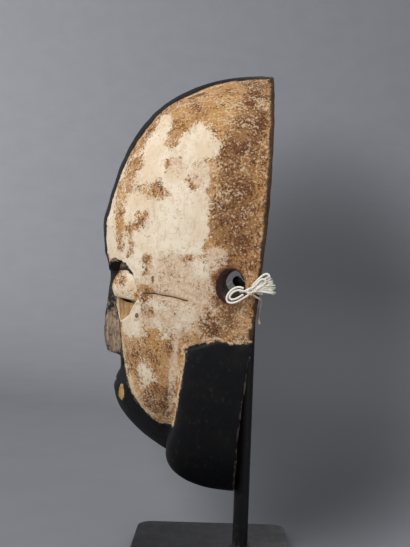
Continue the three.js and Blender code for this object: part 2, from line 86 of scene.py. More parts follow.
BRIDGE_LOW, BRIDGE_HIGH, BRIDGE_RISE, BRIDGE_POWER, BRIDGE_WIDER, BRIDGE_BLEND = 156, 182, 8.5, 2.2, 4, 36
MOUTH_Z, MOUTH_HALF_WIDTH, MOUTH_N, MOUTH_LIP, MOUTH_PROUD = 79.3, 18, 2.5, 9, 0.9
COLLAR_HALF_WIDTH, COLLAR_TOP, COLLAR_DEPTH, COLLAR_ROUND = 79, 122, 55, 30
COLLAR_THINNER, COLLAR_EDGE, COLLAR_N = 5, 10, 1.6
SEAM_RISE, SEAM_FALL, SEAM_FROM, SEAM_TO, SEAM_BLEND, SEAM_FILLET = 2.2, 8.5, 20, 47, 0.7, 0.9
HOLLOW_HALF_WIDTH, HOLLOW_WIDEST, HOLLOW_DEPTH, HOLLOW_DEEPEST = 77, 200, 98, 185
HOLLOW_TOP, HOLLOW_FOOT, HOLLOW_BEHIND = 308, 14, 12
HOLLOW_N_ABOVE, HOLLOW_N_WIDTH, HOLLOW_N_DEPTH = 2.1, 1.75, 1.8
EAR_DEPTH, EAR_Z, EAR_HALF_WIDTH, EAR_HALF_HEIGHT, EAR_BACK = 15.4, 163.2, 9, 11.2, 20
EAR_SHIFT, EAR_WORN = 2.6, 1.2  # how far forward the hole comes out on the side, and its rubbed edge

# The columns of the mask's mesh, from a rim to the middle: where on the section the finer ones over the
# front begin, what share of all they are, where the first one stands, and below which height they keep
# their angle
FRONT_FROM, FRONT_COLUMNS, FIRST_COLUMN, ANGLE_KEPT_BELOW = 0.7, 0.55, 0.008, 70
HEAD_COLUMNS, HOLLOW_COLUMNS, HOLLOW_ROWS = 116, 38, 120
FACE_STEP = 0.75  # between the points of the sunk face

# The stand, in millimetres and degrees. The weld bead is given as (radius, height on the rod's foot).
PLATE_CORNER, PLATE_BROKEN = 12, 0.8
ROD_RADIUS, ROD_FOOT, ROD_TOP, ROD_BACK, ROD_LEAN = 6, 8.3, 211, 23.6, 0.81
ROUNDED_IN, ROUNDED_DOWN = 1.4, 3  # the rod's top edge
BEAD = [(8.1, 0), (8.2, 0.5), (7.6, 1.3), (6.7, 2.1), (ROD_RADIUS, 2.9)]
BEAD_RIPPLES, RIPPLE_SHARE, RIPPLE_TOP = 9, 0.0389, 2.4
PIN_RADIUS, PIN_FOOT, PIN_TOP = 4, (0, 26.8, 208.5), (0, 17.5, 219)

# Twine: its diameter, the step between points of its path, its plies and the length in which they turn
# once, and its routes, as (x, depth, height) in the mask's millimetres
TWINE, TWINE_STEP, TWINE_PLIES, TWINE_LAY = 1.5, 0.4, 3, 5.5
PLY_VALLEY, PLY_BULGE = 0.84, 0.18  # shares of the radius
RING = [
    (87.4, 8.9, 160.2), (86.3, 10.4, 160), (84, 10.4, 160), (80, 8.6, 160), (76, 7, 160),
    (72.8, 5.4, 160), (71.3, 3.2, 160), (70.9, 0.2, 160), (72.2, -3, 160), (75.4, -4.3, 160),
    (80, -4.3, 160), (84.6, -4.1, 160), (87.6, -3, 160), (88.9, -0.4, 160.2),
]
SPAN_RISE = [(69.6, 1.4, 160.3), (46, 2.4, 162), (23, 3.5, 163.8), (8, 4.1, 164.9)]
KNOT_AT, KNOT_RADII, KNOT_LAY = (89.2, 4.4, 161), (2.6, 3.4, 2.7), 6
FRAY_AT, FIBRES, FIBRE_RADIUS = (90.6, 1.6, 162.2), 300, 0.2
BOW_FRONT = [
    (89, 8.7, 162.8), (88.4, 12.2, 163.2), (87, 15.8, 161.6), (86, 18.6, 158.2), (85.6, 19.6, 154.8),
    (85.7, 18.6, 152.4), (86.5, 15.6, 152), (87.6, 12.2, 153.3), (88.6, 9, 155.7), (89.2, 6.6, 157.4),
    (89.6, 4.6, 159.4), (90, 6.2, 160.8), (90, 8.6, 160.9), (89.3, 11.8, 161.2), (88, 14.8, 160),
    (87.1, 17, 157.7), (86.8, 17.7, 155.7), (86.9, 16.6, 154.4), (87.6, 14.6, 154.6),
    (88.5, 12.2, 155.8), (89.3, 10.3, 157.3), (89.9, 8.6, 158.6),
]
BOW_BACK = [
    (89.4, 3.2, 164.7), (90.3, 0.9, 167.9), (91, -1.6, 171), (91.5, -3.9, 173.2), (91.9, -6.2, 173.9),
    (92.1, -7.8, 172.4), (91.9, -7.4, 170), (91.3, -5.2, 167.4), (90.8, -2.6, 164.9),
    (90.4, -0.4, 162.4), (90.4, 2.4, 160.5), (90.6, 4.8, 160.2), (91.2, 5.8, 161.6), (91.8, 4.6, 163),
    (92.2, 2.4, 164.2), (92.7, 0.2, 167), (93.1, -1.9, 169.5), (93.5, -4.1, 170.2), (93.8, -5.5, 168.7),
    (93.6, -4.4, 166.6), (93.1, -2.1, 164.7), (92.6, 0.2, 162.8),
]
TAIL_LEFT = [
    (89.2, 5.4, 161.4), (89.2, 2.6, 159.6), (89.2, 0.6, 158), (88.6, -2.9, 156.4), (85.4, -4.3, 154),
    (81.2, -3.9, 150.6), (78.6, -3.5, 146.4), (78.4, -3.6, 142.4), (79.6, -4.8, 138.6),
]
TAIL_RIGHT = [
    (-86.6, 20.4, 157.6), (-87.6, 16.4, 161), (-89, 12.4, 163.2), (-89.6, 8.6, 162.2),
    (-90.2, 5.6, 160.4), (-89.4, 5.8, 157.2), (-89.2, 6.6, 153), (-88.4, 8.8, 147.8),
    (-87.8, 10.2, 142.6),
]

# Painted zones, as (depth, height) on the side of the mask: where the black of jaw and chin ends
CHEEK_FRONT = [
    (97.5, 120), (93.7, 103.4), (89.7, 88.9), (85.3, 77.5), (79.2, 68), (70.9, 59.4), (61.2, 53.3),
]
CHEEK_TIP = (51, 54.5)
CHEEK_REAR = [(48.8, 68.2), (48.2, 79.9), (46.9, 92.2), (46.2, 103.3), (45.4, 115)]
PANEL_TOP = [(43.6, 117.2), (35.3, 121.1), (24.9, 123.3), (2, 124.2), (-20, 124.6)]
# and the half width of the black band over nose and forehead, as (height, half width)
BAND = [
    (60, 20), (93, 20.5), (125, 20), (135, 17.6), (145, 16), (150, 12.5), (160, 12.5), (165, 24),
    (170, 29), (175, 29), (178, 26), (206, 30), (252, 31.4), (272, 33.5), (324, 33),
]
# The heights at which the black band, the dark of the brow recess (black paint, and painted shade
# along its crescent under the brow) and the pale line on the cheek begin or end, and the distance that
# stands for nowhere near a zone
BAND_FOOT, RECESS_FOOT, LINE_TOP, FAR = 88, 149, 114, 99
# The thick white clay, as (depth, height) on the side, the holes in it, and its patches elsewhere
CREAM = [
    (86, 266), (82, 272), (78, 281), (72, 281), (70, 272), (74, 262), (66, 258), (62, 266), (57, 270),
    (50, 276), (44, 272), (38, 267), (35, 260), (36, 252), (47, 251), (44, 243), (40, 234), (40, 222),
    (37, 212), (36, 200), (37, 190), (36, 181), (52, 181), (68, 180), (71, 170), (80, 160), (92, 158),
    (104, 168), (116, 178), (118, 200), (113, 222), (108, 238), (100, 248), (92, 256),
]
CREAM_HOLES = [
    [(110, 232), (99, 232), (99, 212), (98, 195), (97, 180), (101, 177), (104, 190), (107, 202), (109, 215)],
    [(100, 250), (90, 252), (87, 243), (92, 238), (96, 228), (91, 222), (104, 224), (103, 236)],
    [(92, 228), (86, 231), (80, 231), (74, 232), (66, 222), (70, 220), (78, 218), (88, 219)],
    [(90, 212), (85, 210), (80, 208), (80, 198), (88, 197), (90, 205)],
    [(98, 200), (91, 201), (91, 193), (97, 192)],
    [(94, 190), (91, 190), (91, 178), (94, 178)],
    [(75, 285), (70, 272), (75, 258), (68, 256), (64, 262), (60, 268), (56, 272), (58, 280), (62, 287)],
    [(81, 179), (75, 178), (74, 165), (79, 163)],
    [(71, 247), (62, 250), (55, 243), (60, 235), (70, 236)],
    [(56, 234), (49, 246), (43, 240), (42, 232), (50, 228)],
]
CREAM_PATCHES = [
    [(96, 122), (94, 128), (88, 133), (80, 131), (80, 119), (88, 117)],
    [(79, 101), (72, 97), (66, 88), (75, 81), (79, 90)],
    [(72, 136), (66, 134), (58, 122), (62, 120)],
    [(58, 134), (50, 134), (50, 128), (58, 126)],
    [(106, 153), (97, 154), (96, 147), (105, 146)],
    [(54, 147), (42, 146), (38, 138), (44, 132), (52, 135)],
    [(76, 145), (67, 147), (60, 142), (68, 140)],
    [(90, 180), (72, 180), (70, 168), (80, 163), (90, 166)],
    [(46, 180), (34, 180), (33, 168), (44, 166)],
]
# Patches of golden ochre, of dark crumbling wood and of thin pink clay, as
# (depth, height, reach along each, weight)
GOLD = [
    (33, 283, 13, 22, 1), (70, 119, 14, 11, 1), (8, 230, 5, 34, 0.8), (101, 212, 5, 22, 0.8),
    (60, 272, 9, 9, 0.7), (88, 150, 8, 6, 0.8),
]
DARK = [
    (82, 292, 15, 13, 0.8), (12, 288, 9, 34, 0.8), (22, 240, 16, 46, 0.8), (61, 71, 12, 15, 1.1),
    (75, 109, 17, 9, 0.5), (78, 151, 12, 8, 0.7), (19, 205, 17, 26, 0.6), (24, 141, 13, 17, 0.9),
    (80, 226, 12, 6, 0.4), (85, 204, 4, 6, 0.5), (60, 136, 18, 4, 0.15),
]
PINK = [
    (57, 154, 30, 29, 1), (62, 243, 9, 9, 0.9), (48, 238, 8, 9, 0.8), (90, 154, 8, 8, 0.8),
    (53, 90, 3.5, 36, 0.8), (93, 132, 4, 14, 0.8), (42, 214, 5, 40, 0.5), (29, 182, 9, 9, 0.6),
    (86, 126, 12, 12, 0.5), (79, 151, 10, 7, -0.8), (66, 139, 12, 4, -0.2),
]
# Small red-brown marks, given the same way: a nick in the temple, a spot near the top, two on the cheek
MARKS = [
    (73, 162, 0.9, 2.8, 1.4), (16, 293, 4, 2.4, 1.3), (83.5, 134.5, 1.5, 2, 1.4), (55, 140, 1.1, 1.1, 0.9),
]
CRACK = [(80, 151), (77.3, 151.7), (70.6, 152.4), (64.6, 151.7), (55.8, 151.2), (47, 149.7)]
CHIP = (93.5, 71, 2.6, 7.2)  # depth and height of the chip in the chin, and its reach along each
CRACK_DEPTH, CRACK_HALF_WIDTH, CHIP_DEPTH = 0.9, 0.9, 1.3


def tone(red, green, blue):
    """The colour that a screen shows with these three numbers, from 0 to 255, for a shader."""
    linear = [v / 255 / 12.92 if v < 10 else ((v / 255 + 0.055) / 1.055) ** 2.4 for v in (red, green, blue)]
    return (*linear, 1)


# Camera, lights and floor


def aim_camera():
    yaw, pitch, roll = (math.radians(angle) for angle in (YAW, PITCH, ROLL))
    forward = Vector((-math.cos(pitch) * math.cos(yaw), -math.cos(pitch) * math.sin(yaw), -math.sin(pitch)))
    level = forward.cross(Vector((0, 0, 1))).normalized()
    upward = level.cross(forward)
    right = math.cos(roll) * level + math.sin(roll) * upward
    up = math.cos(roll) * upward - math.sin(roll) * level
    data = bpy.data.cameras.new("camera")
    data.lens = data.sensor_width * FOCAL_LENGTH / IMAGE_HEIGHT  # the sensor lies along the longer side
    data.clip_start = 0.01
    camera = bpy.data.objects.new("camera", data)
    bpy.context.collection.objects.link(camera)
    turn = Matrix((right, up, -forward)).transposed().to_4x4()
    camera.matrix_world = Matrix.Translation(CAMERA_AT) @ turn
    bpy.context.scene.camera = camera


def soft_light(name, place, size, power, aim=(0, -0.02, 0.22)):
    data = bpy.data.lights.new(name, "AREA")
    data.shape = "DISK"
    data.size = size
    data.energy = power
    lamp = bpy.data.objects.new(name, data)
    lamp.location = place
    lamp.rotation_euler = (Vector(aim) - Vector(place)).to_track_quat("-Z", "Y").to_euler()
    bpy.context.collection.objects.link(lamp)


def light_the_studio():
    scene = bpy.context.scene
    scene.view_settings.view_transform = "Standard"
    scene.world = bpy.data.worlds.new("studio")
    scene.world.use_nodes = True
    sky = scene.world.node_tree.nodes["Background"]
    sky.inputs["Color"].default_value = tone(205, 208, 214)
    sky.inputs["Strength"].default_value = 0.5
    soft_light("key", (1.1, -0.75, 1.1), 0.9, 18)
    soft_light("fill", (0.9, 1.0, 0.45), 1.0, 3.5)
    soft_light("front", (-0.1, -1.3, 0.5), 0.8, 4)
    soft_light("rear", (-1.1, 0.5, 0.9), 0.9, 4)
    soft_light("backdrop", (-0.7, -0.9, 1.3), 0.5, 28.5, aim=(-2.6, -0.4, 1.5))


def shaded_floor():
    """Pale, and softly darker behind the mask, as the wall is where it stands in the mask's shadow."""
    paint = Paint("pale floor")
    seen = paint.node("ShaderNodeVectorMath", {0: paint.place, 1: [-v for v in CAMERA_AT]}, operation="ADD")
    away, *sideways = paint.node("ShaderNodeSeparateXYZ", {0: seen.outputs[0]}).outputs
    across, down = (
        paint.shift(paint.maths("DIVIDE", side, away), 1 / reach, middle)
        for side, (middle, reach) in zip(sideways, (SHADE_ACROSS, SHADE_DOWN))
    )
    far = paint.add(paint.times(across, across), paint.times(down, down))
    return paint.finish(paint.coats(
        (138, 139, 144),
        ((135, 136, 141), paint.noise(60, 4), 0.3, 0.7),
        ((84, 85, 88), far, 1, 0.1, 1, paint.step(away, 0, -0.2)),
    ), 0.9)


def lay_floor():
    """A pale floor whose edge curves up all round, so that no horizon shows."""
    flat, bend, high = 0.9, 1.7, 0.8
    turn = [math.pi / 2 * i / 12 for i in range(13)]
    profile = [(0, 0)] + [(flat + bend * math.sin(a), bend * (1 - math.cos(a))) for a in turn]
    profile.append((flat + bend, bend + high))
    points, faces = lathe(profile, 72)
    floor = new_piece("floor", points, faces, [shaded_floor()])


# Meshes


def new_piece(name, points, faces, materials, slot=0, smooth=True):
    mesh = bpy.data.meshes.new(name)
    mesh.from_pydata([tuple(p) for p in points], [], faces)
    for material in materials:
        mesh.materials.append(material)
    mesh.polygons.foreach_set("material_index", [slot] * len(mesh.polygons))
    mesh.polygons.foreach_set("use_smooth", [smooth] * len(mesh.polygons))
    piece = bpy.data.objects.new(name, mesh)
    bpy.context.collection.objects.link(piece)
    return piece


def close_up(piece, sharp=None):
    """Joins doubles, turns every face outwards and marks edges sharper than an angle in degrees."""
    body = bmesh.new()
    body.from_mesh(piece.data)
    bmesh.ops.remove_doubles(body, verts=body.verts, dist=2e-6)
    bmesh.ops.recalc_face_normals(body, faces=body.faces)
    if sharp is not None:
        for edge in body.edges:
            edge.smooth = len(edge.link_faces) < 2 or edge.calc_face_angle(0) < math.radians(sharp)
    body.to_mesh(piece.data)
    body.free()
    return piece


def bake_modifiers(piece):
    """Replaces a piece's mesh by what its modifiers make of it."""
    depsgraph = bpy.context.evaluated_depsgraph_get()
    mesh = bpy.data.meshes.new_from_object(piece.evaluated_get(depsgraph))
    piece.modifiers.clear()
    piece.data = mesh
    return piece


def around(count):
    """The angles of a full turn in equal steps."""
    return [2 * math.pi * i / count for i in range(count)]


def ring_faces(rows, count, closed=False):
    """Faces between rings of points, and from the last ring to the first where closed."""
    return [
        (row * count + i, row * count + (i + 1) % count, after * count + (i + 1) % count, after * count + i)
        for row, after in [(row, (row + 1) % rows) for row in range(rows if closed else rows - 1)]
        for i in range(count)
    ]


def lathe(profile, sides):
    """Points and faces of (radius, height) pairs turned round Z."""
    points = [(r * math.cos(a), r * math.sin(a), height) for r, height in profile for a in around(sides)]
    return points, ring_faces(len(profile), sides)


def dress(piece, slot, *nodes):
    """Says that a piece stays with the root body and is seen in place of the nodes named."""
    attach(piece, "root")
    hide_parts(*nodes)


def hang(points):
    """Points (x, depth, height) in the mask's own millimetres, as points of the whole part in metres."""
    x, depth, height = np.asarray(points, float).T
    lean = math.radians(LEAN)
    y = RIM_FOOT[1] - math.cos(lean) * depth + math.sin(lean) * height
    z = RIM_FOOT[2] + math.cos(lean) * height + math.sin(lean) * depth
    return np.column_stack([x + RIM_FOOT[0], y, z]) * MM


def unhang(points):
    """The inverse of hang."""
    x, y, z = np.asarray(points, float).T / MM
    lean = math.radians(LEAN)
    y, z = y - RIM_FOOT[1], z - RIM_FOOT[2]
    return x - RIM_FOOT[0], math.sin(lean) * z - math.cos(lean) * y, math.cos(lean) * z + math.sin(lean) * y


# Materials


class Paint:
    """Short names for the nodes of one material."""

    def __init__(self, name):
        self.material = bpy.data.materials.new(name)
        self.material.use_nodes = True
        self.tree = self.material.node_tree
        self.shader = self.tree.nodes["Principled BSDF"]
        self.place = self.tree.nodes.new("ShaderNodeTexCoord").outputs["Object"]

    def feed(self, socket, value):
        if isinstance(value, bpy.types.NodeSocket):
            self.tree.links.new(value, socket)
        else:
            socket.default_value = value

    def node(self, kind, inputs=(), **settings):
        node = self.tree.nodes.new(kind)
        for name, value in settings.items():
            setattr(node, name, value)
        for key, value in dict(inputs).items():
            self.feed(node.inputs[key], value)
        return node

    def maths(self, operation, *values):
        return self.node("ShaderNodeMath", dict(enumerate(values)), operation=operation).outputs[0]

    def times(self, a, b):
        return self.maths("MULTIPLY", a, b)

    def size(self, a):
        return self.maths("ABSOLUTE", a)

    def shift(self, field, amount, about=0.5):
        """(field - about) * amount"""
        return self.maths("MULTIPLY_ADD", field, amount, -about * amount)

    def add(self, field, *others):
        """A field with others added: a plain one, or a (noise, amount) that shifts it both ways."""
        for other in others:
            field = self.maths("ADD", field, self.shift(*other) if isinstance(other, tuple) else other)
        return field

    def read(self, attribute, *noises):
        return self.add(self.node("ShaderNodeAttribute", attribute_name=attribute).outputs["Fac"], *noises)

    def step(self, value, low, high, bottom=0, top=1):
        inputs = {"Value": value, "From Min": low, "From Max": high, "To Min": bottom, "To Max": top}
        return self.node("ShaderNodeMapRange", inputs, interpolation_type="SMOOTHSTEP").outputs["Result"]

    def stretched(self, stretch, turn=(0, 0, 0)):
        inputs = {"Vector": self.place, "Scale": stretch, "Rotation": turn}
        return self.node("ShaderNodeMapping", inputs).outputs["Vector"]

    def noise(self, size_mm, detail, roughness=0.55, lopsided=0.0, seed=0, place=None):
        """Noise about 0.5, of patches about size_mm across. A seed gives another one of the same kind."""
        inputs = {
            "Vector": place or self.place, "W": seed, "Scale": 1000 / size_mm,
            "Detail": detail, "Roughness": roughness, "Distortion": lopsided,
        }
        return self.node("ShaderNodeTexNoise", inputs, noise_dimensions="4D").outputs["Fac"]

    def mix(self, share, a, b):
        """Colour b over colour a. A colour is a socket or three numbers from 0 to 255."""
        node = self.node("ShaderNodeMix", data_type="RGBA")
        for key, value in {"Factor": share, "A": a, "B": b}.items():
            socket = next(s for s in node.inputs if s.name == key and (s.type == "RGBA") == (key != "Factor"))
            self.feed(socket, tone(*value) if isinstance(value, tuple) else value)
        return next(s for s in node.outputs if s.type == "RGBA")

    def coat(self, under, over, field, low, high, share=1, where=None):
        """A colour over another as far as a field has gone from low to high, and only where a step is."""
        cover = self.step(field, low, high, 0, share)
        return self.mix(cover if where is None else self.times(cover, where), under, over)

    def coats(self, colour, *layers):
        """A colour under layers, each given as coat takes it."""
        for layer in layers:
            colour = self.coat(colour, *layer)
        return colour

    def relief(self, height, depth_mm):
        inputs = {"Height": height, "Distance": depth_mm * MM, "Strength": 1.0}
        return self.node("ShaderNodeBump", inputs).outputs["Normal"]

    def finish(self, colour, roughness, normal=None, specular=0.35):
        self.feed(self.shader.inputs["Base Color"], colour)
        self.feed(self.shader.inputs["Roughness"], roughness)
        self.shader.inputs["Specular IOR Level"].default_value = specular
        if normal is not None:
            self.feed(self.shader.inputs["Normal"], normal)
        return self.material


def painted_wood():
    """Ochre over brown wood, white clay over that, and black paint with pale worn lines."""
    paint = Paint("painted wood")
    broad = paint.noise(24, 6, 0.7, 0.5)
    patchy = paint.noise(7, 5, 0.65, 0.4, seed=3)
    grainy = paint.noise(2.4, 4, 0.65, seed=5)
    fine = paint.noise(1, 3, 0.6, seed=9)
    clusters = paint.noise(12, 5, 0.65, 0.3, seed=12)
    streaks = paint.noise(3, 4, 0.65, seed=15, place=paint.stretched((1, 1, 0.18)))
    scuffs = paint.noise(3.5, 4, 0.7, seed=52, place=paint.stretched((1, 1, 0.4)))
    specks = paint.noise(1.8, 5, 0.75, seed=18)
    bright = paint.noise(1.7, 5, 0.75, seed=21)

    # brown wood under crumbly ochre, and browner towards the rim
    dark = paint.read("dark")
    flecks = paint.add(specks, (clusters, 0.5), paint.times(dark, 0.04))
    crumbs = paint.add(bright, (broad, 0.4))
    ochre = paint.coats(
        (194, 148, 98),
        ((160, 112, 68), clusters, 0.42, 0.6),
        ((194, 145, 86), paint.read("gold", (patchy, 1.8)), 0.3, 0.7, 0.9),
        ((124, 82, 50), paint.add(dark, (patchy, 1.4), (specks, 2.4)), 0.3, 0.8, 0.6),
        ((92, 57, 35), flecks, 0.53, 0.585, 0.9),
        ((229, 203, 168), crumbs, 0.525, 0.575, 0.72),
    )

    # thin pinkish clay, handled smooth, with fine dark cracks
    cracks = paint.size(paint.shift(paint.noise(9, 5, 0.6, 1.2, seed=24), 1))
    thin = paint.coats(
        (235, 211, 181),
        ((215, 184, 152), grainy, 0.42, 0.6),
        ((140, 100, 74), cracks, 0.012, 0.002, 0.5),
        ((128, 86, 58), flecks, 0.56, 0.62, 0.8),
        ((240, 220, 192), crumbs, 0.55, 0.6, 0.7),
    )

    # white clay where it still holds
    cover = paint.read("clay", (broad, 14), (patchy, 16), (grainy, 10))
    held = paint.step(paint.add(cover, (fine, 3)), -0.4, 0.5)
    white = paint.coats(
        (245, 229, 204),
        ((234, 211, 180), broad, 0.4, 0.62),
        ((214, 188, 154), streaks, 0.53, 0.66, 0.6),
        ((216, 192, 160), grainy, 0.53, 0.64, 0.5),
        ((220, 193, 160), patchy, 0.56, 0.64, 0.5),
        ((168, 128, 92), paint.add(flecks, paint.step(cover, 6, 1, 0, 0.035)), 0.6, 0.66, 0.8),
    )

    # the facet under the eye, which has a pale edge
    facet = paint.read("facet", (patchy, 1.5))
    brown = paint.coats(
        (186, 147, 98),
        ((144, 106, 70), streaks, 0.44, 0.6),
        ((214, 186, 144), crumbs, 0.54, 0.62, 0.5),
        ((98, 70, 50), flecks, 0.58, 0.64, 0.6),
        ((98, 70, 52), facet, 2.4, 1.6, 0.5),
    )

    # black paint, dusty brown where it is worn; in the brow recess it also stands for painted shade
    ragged = (patchy, 7), (grainy, 2.5)
    border = paint.read("border", *ragged)
    worn = paint.read("worn")
    dusty = paint.add(worn, (patchy, 2.6), (grainy, 2.2))
    dust = paint.coats((166, 142, 116), ((128, 107, 90), streaks, 0.42, 0.6))
    black = paint.coats(
        (16, 17, 19),
        ((27, 24, 23), broad, 0.45, 0.66),
        # grey scuffs, which stand both for wear and for a painted blue-grey sheen on the black
        ((66, 62, 62), scuffs, 0.55, 0.72, 0.4),
        (dust, dusty, 0.15, 1.05, 0.95, paint.step(worn, 0, 0.2)),
    )
    polished = paint.times(paint.step(paint.read("edge"), 1.6, 0.6), paint.step(border, 0, 1))

    # one over the other: the clays, the facet, the rubbed ear hole and rim, the marks, the black (with
    # painted shade in the brow recess) with pale lines beside it, the crack with its painted shade, and the
    # chip of raw wood
    line = paint.size(paint.read("line", *ragged))
    beside = paint.size(paint.add(border, 1.8))
    crack = paint.size(paint.read("crack", (grainy, 0.9)))
    raw = paint.coats((206, 172, 112), ((168, 128, 76), streaks, 0.4, 0.6))
    surface = paint.coats(
        ochre,
        (thin, paint.read("pink", (patchy, 1.6), (grainy, 1.2)), 0.3, 0.55, 0.92),
        ((236, 215, 184), paint.add(cover, (bright, 42)), -1.2, 0.6, 0.85),
    )
    surface = paint.coats(
        paint.mix(held, surface, white),
        (brown, facet, 1.2, 1.8),
        ((236, 217, 188), facet, -0.8, 0.2, 0.9, paint.step(facet, 1.8, 1.3)),
        ((126, 74, 48), paint.read("ear", (patchy, 14), (specks, 28)), 4, 1.5, 0.8),
        ((58, 38, 30), paint.read("ear", (grainy, 4)), 1.8, 0.4),
        ((52, 37, 30), paint.read("rim", (patchy, 7)), 4, 2, 0.92),
        ((106, 58, 38), paint.read("mark", (grainy, 1.6)), 0.4, 0.7, 0.85),
        ((228, 206, 170), beside, 1.4, 0.4, 0.7, paint.step(patchy, 0.46, 0.56)),
        (black, border, -0.2, 0.7),
        ((120, 104, 90), scuffs, 0.45, 0.55, 0.5, polished),
        ((222, 200, 164), line, 0.95, 0.35, 0.8, paint.step(patchy, 0.36, 0.5)),
        # the crack: paler wood at its lips, and a dark line in it that is the painted shade of its depth
        ((168, 128, 88), crack, 2.2, 0.8, 0.35),
        ((66, 45, 32), crack, 0.6, 0.2, 0.92),
        (raw, paint.read("chip", (patchy, 1.2)), 0.35, 0.5),
    )

    crust = paint.add(
        paint.times(held, 0.55), paint.times(grainy, 0.6), paint.times(fine, 0.3),
        paint.step(crack, 0.6, 0.2, 0, -1.2),
    )
    smooth = paint.step(border, -0.2, 0.7, 0.5, 0.2)
    roughness = paint.step(border, -0.2, 0.7, 0.92, 0.55)
    return paint.finish(surface, roughness, paint.relief(paint.times(crust, smooth), 0.6), 0.2)


def bare_wood():
    """Old brown wood, darker where hands held it, with long grain."""
    paint = Paint("bare wood")
    grain = paint.noise(3, 5, 0.6, 0.8, seed=2, place=paint.stretched((1, 1, 0.12)))
    patches = paint.noise(30, 4, 0.6, seed=6)
    wood = paint.coats(
        (150, 118, 90),
        ((112, 82, 60), grain, 0.35, 0.65),
        ((86, 62, 47), patches, 0.45, 0.7, 0.7),
        ((176, 150, 124), paint.noise(5, 4, seed=8), 0.6, 0.72, 0.5),
        ((60, 44, 36), paint.read("rim", (patches, 8)), 3, -1, 0.8),
    )
    height = paint.add(paint.times(grain, 0.8), paint.times(paint.noise(1, 2, seed=4), 0.4))
    return paint.finish(wood, 0.75, paint.relief(height, 0.35))


def cut_wood():
    """The dark walls of the ear holes and the eye slits."""
    paint = Paint("cut wood")
    grain = paint.noise(2.5, 4, 0.6, place=paint.stretched((0.4, 1, 1)))
    wood = paint.coats((58, 39, 29), ((92, 62, 44), grain, 0.35, 0.68))
    return paint.finish(wood, 0.7, paint.relief(grain, 0.4))


def black_steel():
    """Satin black paint on steel, with fine scuffs and some dust."""
    paint = Paint("black steel")
    scuffs = paint.noise(5, 5, 0.7, 0.5, seed=2, place=paint.stretched((0.25, 1, 1), (0, 0, 0.5)))
    dust = paint.noise(22, 5, 0.65, seed=4)
    colour = paint.coats(
        (12, 12, 13),
        ((44, 43, 43), scuffs, 0.56, 0.72, 0.6),
        ((52, 51, 50), dust, 0.5, 0.75, 0.25),
    )
    roughness = paint.step(paint.add(dust, (scuffs, 0.5)), 0.35, 0.7, 0.38, 0.62)
    return paint.finish(colour, roughness, paint.relief(paint.noise(0.7, 2, seed=7), 0.05), 0.3)


def cotton(name, clean, dirty):
    """Twine with fine fibres along its strands, dirty in places."""
    paint = Paint(name)
    fibres = paint.noise(0.35, 2, 0.6)
    soiled = paint.noise(9, 3, seed=3)
    colour = paint.coats(clean, (dirty, soiled, 0.5, 0.75, 0.6), (dirty, fibres, 0.5, 0.75, 0.35))
    paint.shader.inputs["Sheen Weight"].default_value = 0.25
    return paint.finish(colour, 0.95, paint.relief(fibres, 0.12), 0.2)


aim_camera()
light_the_studio()
lay_floor()

PAINTED, BARE, CUT = range(3)
WOODS = [painted_wood(), bare_wood(), cut_wood()]
STEEL = black_steel()
COTTON = cotton("cotton", (250, 245, 232), (220, 206, 180))
# the same twine, darker with painted shade, for the tail of the bow that hangs behind the rim
SHADED_COTTON = cotton("shaded cotton", (192, 180, 150), (150, 136, 106))


# Twine


def smooth_path(points, spacing):
    """A Catmull-Rom curve through the points, with its own points a spacing apart."""
    points = np.asarray(points, float)
    ends = [2 * points[0] - points[1], *points, 2 * points[-1] - points[-2]]
    dense = []
    for p0, p1, p2, p3 in zip(ends, ends[1:], ends[2:], ends[3:]):
        k1, k2, k3 = (max(np.linalg.norm(b - a), 1e-9) ** 0.5 for a, b in ((p0, p1), (p1, p2), (p2, p3)))
        start = ((p1 - p0) / k1 - (p2 - p0) / (k1 + k2)) * k2 + (p2 - p1)
        stop = ((p3 - p2) / k3 - (p3 - p1) / (k2 + k3)) * k2 + (p2 - p1)
        for t in np.arange(0, 1, 1 / 24):
            dense.append(
                (2 * t**3 - 3 * t**2 + 1) * p1 + (t**3 - 2 * t**2 + t) * start
                + (3 * t**2 - 2 * t**3) * p2 + (t**3 - t**2) * stop
            )
    dense = np.array([*dense, points[-1]])
    along = np.concatenate([[0], np.linalg.norm(np.diff(dense, axis=0), axis=1).cumsum()])
    wanted = np.linspace(0, along[-1], max(4, round(along[-1] / spacing)) + 1)
    return np.column_stack([np.interp(wanted, along, dense[:, i]) for i in range(3)])


def sweep(path, section_at, closed=False):
    """Points and faces of a section carried along a path. section_at(row) gives (across, up) pairs."""
    rows = len(path)
    ahead = np.roll(path, -1, 0) - np.roll(path, 1, 0)
    if not closed:
        ahead[0], ahead[-1] = path[1] - path[0], path[-1] - path[-2]
    ahead /= np.linalg.norm(ahead, axis=1)[:, None]
    side = np.cross(ahead[0], (0.3, 0.2, 1))
    points = []
    for row in range(rows):
        side = side - ahead[row] * (side @ ahead[row])
        side /= np.linalg.norm(side)
        upward = np.cross(ahead[row], side)
        section = np.asarray(section_at(row))
        points.extend(path[row] + section[:, :1] * side + section[:, 1:] * upward)
    count = len(section)
    faces = ring_faces(rows, count, closed)
    if not closed:
        for row, order in ((0, -1), (rows - 1, 1)):
            points.append(path[row])
            for i in range(count):
                pair = (row * count + i, row * count + (i + 1) % count)[::order]
                faces.append((*pair, len(points) - 1))
    return points, faces


def plied(diameter, lay=TWINE_LAY, sides=18):
    """A round section with plies, for a path with steps of TWINE_STEP."""

    def section_at(row):
        turned = 2 * math.pi * row * TWINE_STEP / lay
        angles = around(sides)
        bulges = [abs(math.cos(TWINE_PLIES / 2 * (a - turned))) for a in angles]
        radii = [diameter / 2 * (PLY_VALLEY + PLY_BULGE * bulge) for bulge in bulges]
        return [(r * math.cos(a), r * math.sin(a)) for r, a in zip(radii, angles)]

    return section_at


def twine_cord(name, route, nodes, material=COTTON):
    """A free length of twine along a route, in place of the nodes named."""
    path = smooth_path(hang(route), TWINE_STEP * MM)
    points, faces = sweep(path, plied(TWINE * MM))
    cord = close_up(new_piece(name, points, faces, [material]))
    dress(cord, "cotton", *nodes)


